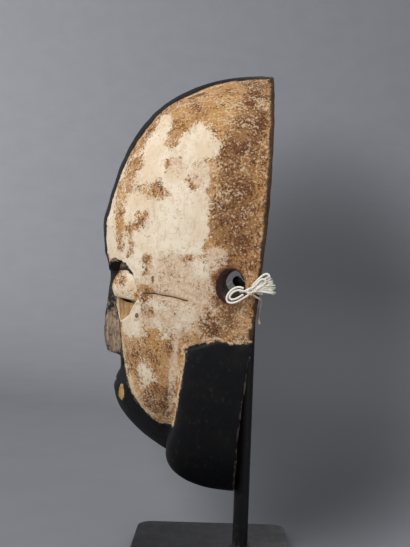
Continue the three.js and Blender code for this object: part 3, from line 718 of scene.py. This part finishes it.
def knot(name, side):
    """An overhand knot pulled tight: a trefoil of twine."""
    turn = np.linspace(0, 2 * math.pi, 150, endpoint=False)
    wide = (2 + np.cos(3 * turn)) / 3
    trefoil = np.column_stack([np.sin(3 * turn), wide * np.cos(2 * turn), wide * np.sin(2 * turn)])
    inner = [radius - TWINE * 0.42 for radius in KNOT_RADII]
    path = hang((KNOT_AT + inner * trefoil) * (side, 1, 1))
    points, faces = sweep(path, plied(TWINE * 0.95 * MM, KNOT_LAY, sides=16), closed=True)
    piece = close_up(new_piece(name, points, faces, [COTTON]))
    dress(piece, "cotton", name)
    return piece


def frayed_end(name, node):
    """Loose fibres that fan out of the knot, towards the back."""
    tree = bpy.data.node_groups.new("fibres", "GeometryNodeTree")
    tree.interface.new_socket("Geometry", in_out="OUTPUT", socket_type="NodeSocketGeometry")

    def add(kind, inputs, **settings):
        node = tree.nodes.new(kind)
        for key, value in settings.items():
            setattr(node, key, value)
        for socket in node.inputs:
            value = inputs.get(socket.identifier)
            if isinstance(value, bpy.types.NodeSocket):
                tree.links.new(value, socket)
            elif value is not None:
                socket.default_value = value
        return node.outputs

    def draw(low, high, seed):
        inputs = {"Min": low, "Max": high, "Seed": seed}
        return add("FunctionNodeRandomValue", inputs, data_type="FLOAT_VECTOR")[0]

    spread = draw((-0.0006, -0.0012, -0.0012), (0.0009, 0.0012, 0.0012), 1)
    dots = add("GeometryNodePoints", {"Count": FIBRES, "Position": spread})[0]
    bend, tip = (0.001, 0.007, 0.0006), (0.0004, 0.014, -0.0004)
    inputs = {"Resolution": 6, "Start": (0, 0, 0), "Middle": bend, "End": tip}
    line = add("GeometryNodeCurveQuadraticBezier", inputs)[0]
    ring = add("GeometryNodeCurvePrimitiveCircle", {"Resolution": 5, "Radius": FIBRE_RADIUS * MM})[0]
    fibre = add("GeometryNodeCurveToMesh", {"Curve": line, "Profile Curve": ring, "Fill Caps": True})[0]
    turn = draw((math.radians(-8), 0, math.radians(-14)), (math.radians(44), 0, math.radians(2)), 2)
    grown = draw((1, 0.55, 1), (1, 1, 1), 3)
    inputs = {"Points": dots, "Instance": fibre, "Rotation": turn, "Scale": grown}
    many = add("GeometryNodeInstanceOnPoints", inputs)[0]
    real = add("GeometryNodeRealizeInstances", {"Geometry": many})[0]
    painted = add("GeometryNodeSetMaterial", {"Geometry": real, "Material": COTTON})[0]
    tree.links.new(painted, tree.nodes.new("NodeGroupOutput").inputs[0])
    seed_mesh = bpy.data.objects.new(name, bpy.data.meshes.new(name))
    bpy.context.collection.objects.link(seed_mesh)
    seed_mesh.modifiers.new("fibres", "NODES").node_group = tree
    piece = bake_modifiers(seed_mesh)
    piece.data.transform(Matrix.Translation(Vector(hang([FRAY_AT])[0])))
    dress(close_up(piece), "cotton", node)


def mirrored(route):
    return [(-x, depth, height) for x, depth, height in route]


for side_name, side in (("left", 1), ("right", -1)):
    ring = RING if side > 0 else mirrored(RING)
    tied = knot(f"knot_{side_name}", side)
    twine_cord(f"ring_{side_name}", ring, [f"twine_ring_{side_name}"])
over_the_pin = [*SPAN_RISE, (0, 4.2, 165.4), *mirrored(SPAN_RISE)[::-1]]
twine_cord("span", over_the_pin, ["twine_span"])
twine_cord("bow_front", BOW_FRONT, ["bow_front_outer", "bow_front_inner"])
twine_cord("bow_back", BOW_BACK, ["bow_back_outer", "bow_back_inner"])
frayed_end("frayed_end", "bow_back_inner")
twine_cord("tail_of_bow", TAIL_LEFT, ["tail_left"], material=SHADED_COTTON)
twine_cord("plain_ends", TAIL_RIGHT, ["tail_right_front", "tail_right_down"])


# Mask: the forms. All take and give arrays in the mask's own millimetres.


def oval(x, n):
    return np.maximum(0, 1 - np.abs(x) ** n) ** (1 / n)


def closing(start, stop, z, n):
    """1 on this side of start, and from there curving in to 0 at stop, which may lie above or below."""
    return oval(np.maximum(0, (z - start) / (stop - start)), n)


def ramp(low, high, x):
    return np.clip((x - low) / (high - low), 0, 1)


def ease(low, high, x):
    t = ramp(low, high, x)
    return t * t * (3 - 2 * t)


def mix(a, b, share):
    return a + (b - a) * share


def section(share):
    """Half width of a level at a share of its depth, both from 0 to 1."""
    return np.maximum(0, 1 - share / 2 - share**3 / 2) ** (1 / SECTION_N)


def share_at(across):
    """The inverse of section: the share of the depth at a share of the half width."""
    half = 1 - np.minimum(1, np.abs(across)) ** SECTION_N
    root = np.sqrt(half * half + 1 / 27)
    return np.cbrt(half + root) + np.cbrt(half - root)


def greater(a, b, fillet):
    return (a + b + np.sqrt((a - b) ** 2 + fillet**2)) / 2


def head_half_width(z):
    above = closing(WIDEST_AT, TOP, z, WIDTH_N_ABOVE)
    return HEAD_HALF_WIDTH * above * closing(WIDEST_AT, HEAD_FOOT, z, WIDTH_N_BELOW)


def sunk_depth(z):
    return PHILTRUM_DEPTH + FACE_SLOPE * (z - FACE_FOOT)


def head_depth(z):
    above = np.maximum(0, z - DEEPEST_AT)
    forehead = HEAD_DEPTH - FOREHEAD_SLOPE * above
    forehead *= np.maximum(0, 1 - (above / (TOP - DEEPEST_AT)) ** FOREHEAD_N) ** (1 / FOREHEAD_END)
    fall = (np.clip(DEEPEST_AT - z, 0, None) / (DEEPEST_AT - FACE_FOOT)) ** FACE_FALL_POWER
    cheeks = CHEEK_DEPTH * closing(CHEEK_MIDDLE, CHEEK_FOOT, z, CHEEK_N)
    face = HEAD_DEPTH - FACE_FALL * fall
    return np.where(z > DEEPEST_AT, forehead, np.where(z > FACE_FOOT, face, cheeks))


def ridge_depth(z):
    """The ridge of the nose, and above it the slope up to the forehead."""
    tip = mix(NOSE_ROOT_DEPTH, NOSE_TIP_DEPTH, ease(NOSE_ROOT, NOSE_TIP, z))
    turned = NOSE_TURN_BACK * (np.maximum(0, NOSE_TURN_FROM - z) / NOSE_TURN_HEIGHT) ** 2
    return tip - turned + BRIDGE_RISE * ramp(BRIDGE_LOW, BRIDGE_HIGH, z) ** BRIDGE_POWER


def forehead_sunk(x, z):
    """The forehead is lower than its round here, where it runs down to the nose."""
    sunk = np.maximum(0, head_depth(z) - ridge_depth(z)) * (1 - ease(0.2, 1, np.abs(x) / BRIDGE_BLEND))
    return np.where((z > NOSE_ROOT - 10) & (z < BRIDGE_HIGH), sunk, 0)


def muzzle_height(x, z):
    chin = MUZZLE_DEPTH * closing(MUZZLE_MIDDLE, MUZZLE_FOOT, z, MUZZLE_N)
    middle = mix(chin, sunk_depth(z), ease(MUZZLE_LIP, FACE_FOOT - 1, z))
    across = oval(x / np.maximum(1e-6, MUZZLE_SHARE * head_half_width(z)), 2) ** 2
    return np.where(z > FACE_FOOT, 0, np.maximum(0, middle - head_depth(z)) * across)


def nose_height(x, z):
    wing = mix(NOSE_WING_HALF, NOSE_ROOT_HALF, ease(NOSE_WINGS_LOW, NOSE_WINGS_HIGH, z))
    half = wing + BRIDGE_WIDER * ramp(BRIDGE_LOW, BRIDGE_HIGH, z)
    across = 1 - ease(NOSE_FLAT, 1, np.abs(x) / half)
    return (ridge_depth(z) - sunk_depth(z)) * across * ease(NOSE_FOOT - 2, NOSE_FOOT + 0.6, z)


def lid_reach(x, z):
    """0 at the middle of the lid's lower edge, and 1 all along its outline."""
    across = np.abs((np.abs(x) - LID_X) / LID_HALF_WIDTH)
    up = np.clip((z - LID_LOW) / (LID_HIGH - LID_LOW), 0, None)
    return (across**LID_N + up**LID_N) ** (1 / LID_N)


def lid_height(x, z):
    up = (z - LID_LOW) / (LID_HIGH - LID_LOW)
    fuller = mix(LID_LOWER_SHARE, 1, ease(0, 0.35, up))
    rounded = np.maximum(0, 1 - lid_reach(x, z) ** LID_N) ** LID_EDGE
    return LID_PROUD * rounded * fuller * ease(-0.02, 0.02, up)


def facet_left(z):
    return mix(FACET_LEFT, FACET_LEFT_LOW, ramp(FACET_HIGH, FACET_LOW, z))


def facet_height(x, z):
    """The hollowed facet under the lid, and the ridge between it and the nose."""
    x, left = np.abs(x), facet_left(z)
    across = oval(2 * (x - left) / (FACET_RIGHT - left) - 1, 2)
    sunk = FACET_SUNK * across * ease(FACET_LOW, FACET_LOW + FACET_RUN, z)
    outward, inward = np.maximum(0, 1 - (x - left) / RIDGE_RIGHT), 1 - ease(0, RIDGE_LEFT, left - x)
    ridge = RIDGE_HEIGHT * np.where(x > left, outward, inward) * ease(RIDGE_FROM, RIDGE_TO, z)
    return (ridge - sunk) * (1 - ease(FACET_HIGH, FACET_HIGH + FACET_STEP, z))


def lip_height(x, z):
    across = oval(x / MOUTH_HALF_WIDTH, MOUTH_N)
    wave = np.sin(math.pi * np.clip(np.abs(z - MOUTH_Z) / MOUTH_LIP, 0, 1))
    parting = -0.9 * np.exp(-(((z - MOUTH_Z) / 0.8) ** 2)) * oval(x / (MOUTH_HALF_WIDTH - 2), 4)
    return MOUTH_PROUD * across * wave + parting


def face_outline(grown):
    """The edge of the sunk face, from the philtrum up the cheek and over the brow, grown by a distance."""
    foot = FACE_FOOT - 1 - grown
    half = [(ORBIT_X + ORBIT_HALF_WIDTH - CHEEK_EDGE_SLOPE * (ORBIT_Z - foot) + grown, foot)]
    for angle in np.linspace(0, math.pi / 2, 90):
        out = ORBIT_X + (ORBIT_HALF_WIDTH + grown) * max(0, math.cos(angle)) ** (2 / ORBIT_N)
        brow = ORBIT_Z + (ORBIT_HEIGHT + grown) * math.sin(angle) ** (2 / ORBIT_N)
        half.append((out, brow - BROW_DIP_HEIGHT * (1 - float(ease(BROW_DIP_INNER, BROW_DIP_OUTER, out)))))
    return half + [(-x, z) for x, z in half[::-1]]


def within_outline(outline, across, z):
    """How far inside a closed outline a point is. It is below 0 outside."""
    nearest, inside = np.full(np.shape(across), 1e3), np.zeros(np.shape(across), bool)
    for (x0, z0), (x1, z1) in zip(outline, [*outline[1:], outline[0]]):
        length = max((x1 - x0) ** 2 + (z1 - z0) ** 2, 1e-9)
        along = np.clip(((across - x0) * (x1 - x0) + (z - z0) * (z1 - z0)) / length, 0, 1)
        away = np.hypot(across - x0 - along * (x1 - x0), z - z0 - along * (z1 - z0))
        nearest = np.minimum(nearest, away)
        if z0 != z1:
            inside ^= ((z0 > z) != (z1 > z)) & (across < x0 + (z - z0) * (x1 - x0) / (z1 - z0))
    return np.where(inside, nearest, -nearest)


def reach_of(width, depth, angle):
    """How far from the axis a level of that half width and depth is, at an angle from the rim."""
    low, high = np.zeros_like(angle), np.ones_like(angle)
    for _ in range(32):
        share = (low + high) / 2
        beyond = share * depth * np.cos(angle) > width * section(share) * np.sin(angle)
        low, high = np.where(beyond, low, share), np.where(beyond, share, high)
    return np.hypot(width * section(low), low * depth), low


def collar_reach(z, angle):
    width = COLLAR_HALF_WIDTH * closing(COLLAR_TOP, 0, z, COLLAR_N)
    flank = reach_of(width, HEAD_DEPTH + 0 * z, angle)[0]
    plane = COLLAR_DEPTH * closing(COLLAR_ROUND, 0, z, 2)
    front = (plane - COLLAR_THINNER * ease(36, 66, z)) / np.maximum(np.sin(angle), 1e-6)
    flank, front = np.maximum(flank, 1e-6), np.maximum(front, 1e-6)
    return (flank**-COLLAR_EDGE + front**-COLLAR_EDGE) ** (-1 / COLLAR_EDGE)


def rim_depth(z):
    above = -RIM_WAVE_TOP * np.sin(math.pi * (z - RIM_NODE) / (TOP - RIM_NODE))
    return np.where(z > RIM_NODE, above, RIM_WAVE_LOW * np.sin(math.pi * z / RIM_NODE))


def ear_distance(depth, z):
    """How far outside the ear hole's edge a point on the side is."""
    across, up = (depth - EAR_DEPTH - EAR_SHIFT) / EAR_HALF_WIDTH, (z - EAR_Z) / EAR_HALF_HEIGHT
    return (np.hypot(across, up) - 1) * (EAR_HALF_WIDTH + EAR_HALF_HEIGHT) / 2


def ripple(points, size_mm, seed):
    """A smooth random height about 0, about 1 high, with hills about size_mm apart."""
    draw = np.random.default_rng(seed)
    total = 0
    for _ in range(14):
        way = draw.normal(size=3)
        way *= 2 * math.pi / (size_mm * draw.uniform(0.7, 1.5) * np.linalg.norm(way))
        total = total + np.sin(points @ way + draw.uniform(0, 2 * math.pi))
    return total / 4


# Mask: the mesh


def turning(start, stop, count):
    """Heights from start to stop, close together at the start where the form turns in."""
    return start + (stop - start) * (1 - np.cos(np.linspace(0, math.pi / 2, count + 1)))


def outer_levels():
    """Heights of the mesh's rows, closer together where the foot and the top turn in."""
    return np.concatenate([
        turning(0, COLLAR_ROUND, 18)[:-1],
        np.arange(COLLAR_ROUND, 126, 1.5),
        np.arange(126, 196, 1.7),
        turning(TOP, 196, 78)[::-1],
    ])


def outer_skin(z, column):
    """Points of the mask's outside for heights z and columns from -1 at one rim to 1 at the other."""
    side, inward = np.sign(column), np.abs(column)
    front = 1 - FRONT_FROM**SECTION_N / 2
    on_front = 1 - (FRONT_FROM * (1 - inward) / FRONT_COLUMNS) ** SECTION_N / 2
    on_side = FIRST_COLUMN + (front - FIRST_COLUMN) * inward / (1 - FRONT_COLUMNS)
    share = np.where(1 - inward < FRONT_COLUMNS, on_front, on_side)
    level = np.maximum(z, ANGLE_KEPT_BELOW)
    angle = np.arctan2(head_depth(level) * share, head_half_width(level) * section(share))
    width = np.maximum(head_half_width(z), 1e-3)
    head, level_share = reach_of(width, np.maximum(head_depth(z), 1e-3), angle)
    collar = collar_reach(z, angle)
    seam = COLLAR_TOP + SEAM_RISE - SEAM_FALL * ease(SEAM_FROM, SEAM_TO, collar * np.sin(angle))
    reach = mix(greater(head, collar, SEAM_FILLET), head, ease(seam - SEAM_BLEND, seam + SEAM_BLEND, z))
    x, depth = reach * np.cos(angle), reach * np.sin(angle)
    share = share_at(x / width)
    proud = head_depth(z) * share + (muzzle_height(x, z) + lip_height(x, z)) * ease(0.3, 0.6, share)
    fillet = 0.7 * ease(FACE_FOOT + 4, FACE_FOOT - 6, z)
    low = (x < width) & (z < FACE_FOOT + 4) & (z > HEAD_FOOT)
    depth = np.where(low, greater(depth, proud, fillet), depth)
    depth -= forehead_sunk(x, z) * ease(0.35, 0.45, share)
    depth += rim_depth(z) * (1 - level_share) ** 2 * (1 - ease(0.5, 0.8, level_share))
    return np.stack([side * x, depth, z], -1)


def sunk_skin(z, x):
    """Points of the sunk face with its nose and eyelids."""
    share = share_at(x / head_half_width(z))
    depth = sunk_depth(z) * share + nose_height(x, z) + lid_height(x, z) + facet_height(x, z)
    return np.stack([x, depth + rim_depth(z) * (1 - share) ** 2, z], -1)


def hollow_skin(z, column):
    """Points of the hollow, with columns from -1 at one rim to 1 at the other, close together at both."""

    def from_middle(middle, below):
        return closing(middle, HOLLOW_TOP, z, HOLLOW_N_ABOVE) * closing(middle, HOLLOW_FOOT, z, below)

    share = share_at(np.cos(math.pi / 2 * np.abs(column)))
    x = HOLLOW_HALF_WIDTH * from_middle(HOLLOW_WIDEST, HOLLOW_N_WIDTH) * section(share)
    depth = HOLLOW_DEPTH * from_middle(HOLLOW_DEEPEST, HOLLOW_N_DEPTH) * share
    return np.stack([np.sign(column) * x, depth, z], -1)


def carved(points):
    """Height of the hand-carved unevenness, the worn edges, the crack and the chip."""
    x, depth, z = points[..., 0], points[..., 1], points[..., 2]
    height = 0.35 * ripple(points, 34, 1) + 0.12 * ripple(points, 11, 2)
    height -= 0.25 * np.clip(ripple(points, 7, 3), 0, 1) * ease(40, 20, depth) * ease(120, 140, z)
    height -= EAR_WORN * (1 - ease(-1, 4, ear_distance(depth, z))) * (depth < 45)
    on_crack = (x > 0) * ease(46, 52, depth) * ease(81, 77, depth)
    height -= CRACK_DEPTH * np.exp(-((crack_height(depth, z) / CRACK_HALF_WIDTH) ** 2)) * on_crack
    return height - CHIP_DEPTH * ease(0.35, 0.7, chip_cover(x, depth, z))


def raised(skin, height):
    """A skin with a height added along its own normals."""
    normal = np.cross(np.gradient(skin, axis=0), np.gradient(skin, axis=1))
    normal /= np.maximum(np.linalg.norm(normal, axis=2, keepdims=True), 1e-9)
    return skin + normal * height[..., None]


def backed(skin, depth):
    """A skin whose rows go on from their last column to their first at one depth."""
    return np.concatenate([skin, skin[:, [-1, 0]] * (1, 0, 1) + (0, depth, 0)], 1)


def columns(count):
    """From -1 to 1 by way of 0, with both signs kept at the ends, where the rim is."""
    half = np.linspace(0, 1, count)
    whole = np.concatenate([-half, half[-2::-1]])
    whole[0], whole[-1] = -1e-9, 1e-9
    return whole


def closed_body(name, rows, foot, top, slot):
    """A closed body of rows that each run round it, with a point at each end."""
    high, wide = rows.shape[:2]
    at = np.arange(high * wide).reshape(high, wide)
    beside = np.roll(at, -1, 1)
    faces = [tuple(f) for f in np.stack([at[:-1], beside[:-1], beside[1:], at[1:]], -1).reshape(-1, 4)]
    faces += [(high * wide, b, a) for a, b in zip(at[0], beside[0])]
    faces += [(high * wide + 1, a, b) for a, b in zip(at[-1], beside[-1])]
    points = np.concatenate([rows.reshape(-1, 3), [foot, top]])
    return close_up(new_piece(name, hang(points), faces, WOODS, slot))


def head_body():
    """The whole mask but for its sunk face and its hollow."""
    z, column = np.meshgrid(outer_levels()[1:-1], columns(HEAD_COLUMNS), indexing="ij")
    front = outer_skin(z, column)
    front = raised(front, carved(front) * ease(0, 14, z))
    front[:, [0, -1], 1] += RIM_BROKEN
    shares = np.array([0.004, 0.012, 0.03, 0.055, 0.085, 0.12, 0.17, 0.25, 0.37])
    shares = np.concatenate([shares, [0.5], 1 - shares[::-1]])[:, None]
    back = front[:, -1:] * (1 - shares) + front[:, :1] * shares
    back[..., 1] = rim_depth(back[..., 2]) + 0.3 * ripple(back, 16, 4)
    return closed_body("carved_mask", np.concatenate([front, back], 1), (0, 0, 0), (0, 0, TOP), PAINTED)


def face_body():
    """The sunk face on a block that reaches back into the wood."""
    z, x = np.meshgrid(np.arange(91, 183, FACE_STEP), np.arange(-58.5, 58.6, FACE_STEP), indexing="ij")
    front = sunk_skin(z, x)
    rows = backed(raised(front, carved(front)), 40)
    return closed_body("face", rows, (0, 60, 88), (0, 60, 188), PAINTED)


def hollow_body():
    """What is cut out of the back, with the marks of the gouge."""
    turns = np.cos(np.linspace(0, math.pi, HOLLOW_ROWS)[1:-1])
    levels = (HOLLOW_FOOT + HOLLOW_TOP) / 2 - (HOLLOW_TOP - HOLLOW_FOOT) / 2 * turns
    z, column = np.meshgrid(levels, columns(HOLLOW_COLUMNS), indexing="ij")
    front = hollow_skin(z, column)
    gouged = 0.35 * ripple(front * (1, 1, 0.35), 12, 7) * ease(0, 6, front[..., 1])
    gouged = gouged * ease(HOLLOW_FOOT, HOLLOW_FOOT + 10, z) * ease(HOLLOW_TOP, HOLLOW_TOP - 10, z)
    rows = backed(raised(front, gouged), -HOLLOW_BEHIND)
    return closed_body("hollow", rows, (0, 0, HOLLOW_FOOT), (0, 0, HOLLOW_TOP), BARE)


def zones(x, depth, z):
    """How far inside the black paint, the cheek's border and the eye's recess (paint and painted shade) a
    point is.
    """
    light = [(160, 120), *CHEEK_FRONT, CHEEK_TIP, *CHEEK_REAR, *PANEL_TOP]
    jaw = -within_outline([*light, (-20, 400), (160, 400)], depth, z)
    heights, halves = zip(*BAND)
    band = np.where(z > BAND_FOOT, np.interp(z, heights, halves) - np.abs(x), -FAR)
    # the brow recess is painted dark: black paint, and painted shade in its crescent under the brow
    in_recess = np.minimum(within_outline(face_outline(0.4), x, z), 17 * (lid_reach(x, z) - 1.04))
    recess_black_and_shade = np.where((z > RECESS_FOOT) & (depth > 60), in_recess, -FAR)
    cheek_line = np.where((z < LINE_TOP) & (np.abs(x) > 12), jaw, FAR)
    return np.maximum(np.maximum(jaw, band), recess_black_and_shade), cheek_line, recess_black_and_shade


def crack_height(depth, z):
    depths, heights = zip(*sorted(CRACK))
    return z - np.interp(depth, depths, heights)


def chip_cover(x, depth, z):
    cover = 1 - np.hypot((depth - CHIP[0]) / CHIP[2], (z - CHIP[1]) / CHIP[3]) / 1.6
    return np.where((x > 8) & (x < 26), np.clip(cover, 0, 1), 0)


def blobs(patches, depth, z):
    total = 0
    for d0, z0, reach_d, reach_z, weight in patches:
        total = total + weight * np.exp(-(((depth - d0) / reach_d) ** 2 + ((z - z0) / reach_z) ** 2) ** 1.5)
    return total


def within_any(outlines, depth, z):
    return np.max([within_outline(outline, depth, z) for outline in outlines], axis=0)


def clay_depth(depth, z):
    """How far inside the thick clay a point is."""
    cover = within_any([CREAM, *CREAM_PATCHES], depth, z)
    return np.clip(np.minimum(cover, -within_any(CREAM_HOLES, depth, z)), -12, 12)


def facet_edge(x, z):
    """How far inside the facet under the eye a point is."""
    inside = np.minimum(within_outline(face_outline(0), x, z), 1.4 * (FACET_HIGH + 0.5 - z) + 2)
    below = z - FACET_LOW - 0.03 * (np.abs(x) - 23) ** 2
    return np.minimum(np.minimum(np.abs(x) - facet_left(z) - 2, below), inside)


def write_attributes(piece):
    """What the paint reads: distances in millimetres, and covers from 0 to 1."""
    count = len(piece.data.vertices)
    places = np.empty(count * 3)
    piece.data.vertices.foreach_get("co", places)
    x, depth, z = unhang(places.reshape(-1, 3))
    border, line, recess_black_and_shade = zones(x, depth, z)
    # the two sides were painted alike, but not the same
    side, up = depth + (x < 0) * 5 * np.sin(z / 23 + 1), z + (x < 0) * (7 * np.sin(depth / 15) - 4)
    nose = ease(24, 10, np.abs(x)) * ease(92, 108, z) * ease(166, 112, z) * ease(-2, 8, np.abs(x))
    outside = -within_outline(face_outline(0), x, z)
    beside_facet = np.where((z > 124) & (z < 152) & (depth > 80), 3 - np.abs(outside - 3), -12)
    brow = ease(0, 4, recess_black_and_shade) * ease(16, 34, np.abs(x))
    values = {
        "border": border,
        "line": line,
        "clay": np.maximum(clay_depth(side, up), beside_facet),
        "gold": blobs(GOLD, side, up),
        # dark patches, and darker over the last 40 mm of depth towards the rim
        "dark": blobs(DARK, side, up) + 0.3 * ease(40, 20, depth),
        "pink": blobs(PINK, side, up),
        "mark": blobs(MARKS, side, up) * (x > 0),
        "facet": np.where(depth > 55, facet_edge(x, z), -9),
        "ear": np.where(depth < 60, ear_distance(depth, z), FAR),
        "rim": depth - rim_depth(z),
        "edge": np.where(z < 116, depth - rim_depth(z), 9),
        "worn": 0.95 * nose + 0.6 * brow + 0.06 * ease(178, 200, z) + 0.3 * ease(3.5, 0, np.abs(line)),
        "crack": np.where((x > 0) & (depth > 46) & (depth < 80), crack_height(depth, z), FAR),
        "chip": chip_cover(x, depth, z),
    }
    for name, value in values.items():
        attribute = piece.data.attributes.new(name, "FLOAT", "POINT")
        attribute.data.foreach_set("value", np.asarray(value, np.float32) + np.zeros(count, np.float32))


def prism(name, outline, place, turn, length, slot):
    """A closed prism: an outline in its own XY, half its length either way, turned and put in place."""
    count, matrix = len(outline), Matrix.Translation(place) @ turn
    points = [matrix @ Vector((x, y, end * length / 2)) for end in (-1, 1) for x, y in outline]
    faces = [tuple(range(count))[::-1], tuple(range(count, 2 * count)), *ring_faces(2, count)]
    return close_up(new_piece(name, hang(points), faces, WOODS, slot, smooth=False))


FORWARDS = Matrix(((1, 0, 0), (0, 0, 1), (0, 1, 0))).to_4x4()  # puts an outline upright, facing forwards


def face_prism(grown):
    return prism("face_prism", face_outline(grown), (0, 95, 0), FORWARDS, 130, PAINTED)


def ear_cutter(side):
    outline = [(EAR_HALF_WIDTH * math.cos(a), EAR_HALF_HEIGHT * math.sin(a)) for a in around(64)]
    back = math.radians(EAR_BACK)
    axis = Vector((side * math.cos(back), math.sin(back), 0))
    along = Vector((-side * math.sin(back), math.cos(back), 0))
    turn = Matrix((along, Vector((0, 0, 1)), axis)).transposed().to_4x4()
    return prism("ear_cutter", outline, (side * 80, EAR_DEPTH, EAR_Z), turn, 50, CUT)


def slit_cutter(side):
    turns = [-1 + i / 12 for i in range(24)]
    upper = [(t, SLIT_HALF_HEIGHT * (1 - t * t)) for t in turns]
    outline = upper + [(-t, -high) for t, high in upper]
    outline = [(side * (SLIT_X + SLIT_HALF_LENGTH * t), high - SLIT_DROP * t) for t, high in outline]
    return prism("slit_cutter", outline, (0, 90, SLIT_Z), FORWARDS, 60, CUT)


def combine(piece, *steps):
    """Cuts, adds or keeps what is common, in order. The other bodies are used up."""
    for operation, other in steps:
        step = piece.modifiers.new(other.name, "BOOLEAN")
        step.operation = operation
        step.solver = "MANIFOLD"
        step.object = other
    bake_modifiers(piece)
    for _, other in steps:
        bpy.data.objects.remove(other)
    return piece


def carve_mask():
    face = combine(face_body(), ("INTERSECT", face_prism(0.2)))
    holes = [("DIFFERENCE", cutter(side)) for cutter in (ear_cutter, slit_cutter) for side in (-1, 1)]
    steps = [("DIFFERENCE", face_prism(0)), ("UNION", face), ("DIFFERENCE", hollow_body())]
    mask = combine(head_body(), *steps, *holes)
    close_up(mask, sharp=50)
    write_attributes(mask)
    dress(mask, "wood", "mask")


carve_mask()


# Stand


def steel_piece(name, node, points, faces):
    piece = new_piece(name, points, faces, [STEEL])
    dress(piece, "steel", node)
    close_up(piece, sharp=40)


def base_plate():
    """A square plate with rounded corners and softly broken edges, of the size of the base plate in
    model.glb.
    """
    low, high = (Vector(corner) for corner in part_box("base_plate"))
    corner, broken = PLATE_CORNER * MM, PLATE_BROKEN * MM
    reach = high.x - corner
    turn = [math.pi / 2 * i / 10 for i in range(11)]

    def outline(inset, height):
        return [
            (math.cos(q + a) * (corner - inset) + reach * math.copysign(1, math.cos(q + math.pi / 4)),
             math.sin(q + a) * (corner - inset) + reach * math.copysign(1, math.sin(q + math.pi / 4)), height)
            for q in (0, math.pi / 2, math.pi, 3 * math.pi / 2)
            for a in turn
        ]

    soft = [(broken * (1 - math.sin(a)), broken * (1 - math.cos(a))) for a in turn[::2]]
    rings = [outline(inset, low.z + rise) for inset, rise in soft]
    rings += [outline(inset, high.z - rise) for inset, rise in soft[::-1]]
    count = len(rings[0])
    points = [p for ring in rings for p in ring]
    ends = [tuple(range(count))[::-1], tuple(range(len(points) - count, len(points)))]
    steel_piece("plate", "base_plate", points, ring_faces(len(rings), count) + ends)


def rod():
    """The leaning rod with its weld bead and its rounded top."""
    profile = [(0, ROD_FOOT), *[(radius, ROD_FOOT + up) for radius, up in BEAD]]
    low, high = profile[-1][1], ROD_TOP - ROUNDED_DOWN
    profile += [(ROD_RADIUS, low + (high - low) * i / 40) for i in range(1, 41)]
    for a in (0.4, 0.8, 1.2, math.pi / 2):
        profile.append((ROD_RADIUS - ROUNDED_IN * (1 - math.cos(a)), high + ROUNDED_DOWN * math.sin(a)))
    profile.append((0, ROD_TOP))
    points, faces = lathe(profile, 64)
    lean = math.tan(math.radians(ROD_LEAN))
    for i, (x, y, z) in enumerate(points):
        fade = max(0, 1 - (z - ROD_FOOT) / RIPPLE_TOP)
        grown = 1 + RIPPLE_SHARE * math.sin(BEAD_RIPPLES * math.atan2(y, x)) * fade
        points[i] = Vector((x * grown, y * grown + ROD_BACK + lean * z, z)) * MM
    steel_piece("rod", "stand_rod", points, faces)


def pin():
    """The pin bent forward and up out of the rod's top, in place of the same node."""
    start, end = Vector(PIN_FOOT), Vector(PIN_TOP)
    length = (end - start).length
    shaft = [(PIN_RADIUS, length * i / 8) for i in range(8)]
    dome = [(math.cos(a), math.sin(a)) for a in np.linspace(0, math.pi / 2, 10)]
    dome = [(PIN_RADIUS * across, length + PIN_RADIUS * up) for across, up in dome]
    points, faces = lathe([(0, 0), *shaft, *dome], 48)
    turn = (end - start).to_track_quat("Z", "Y")
    steel_piece("pin", "stand_rod", [(start + turn @ Vector(p)) * MM for p in points], faces)


base_plate()
rod()
pin()
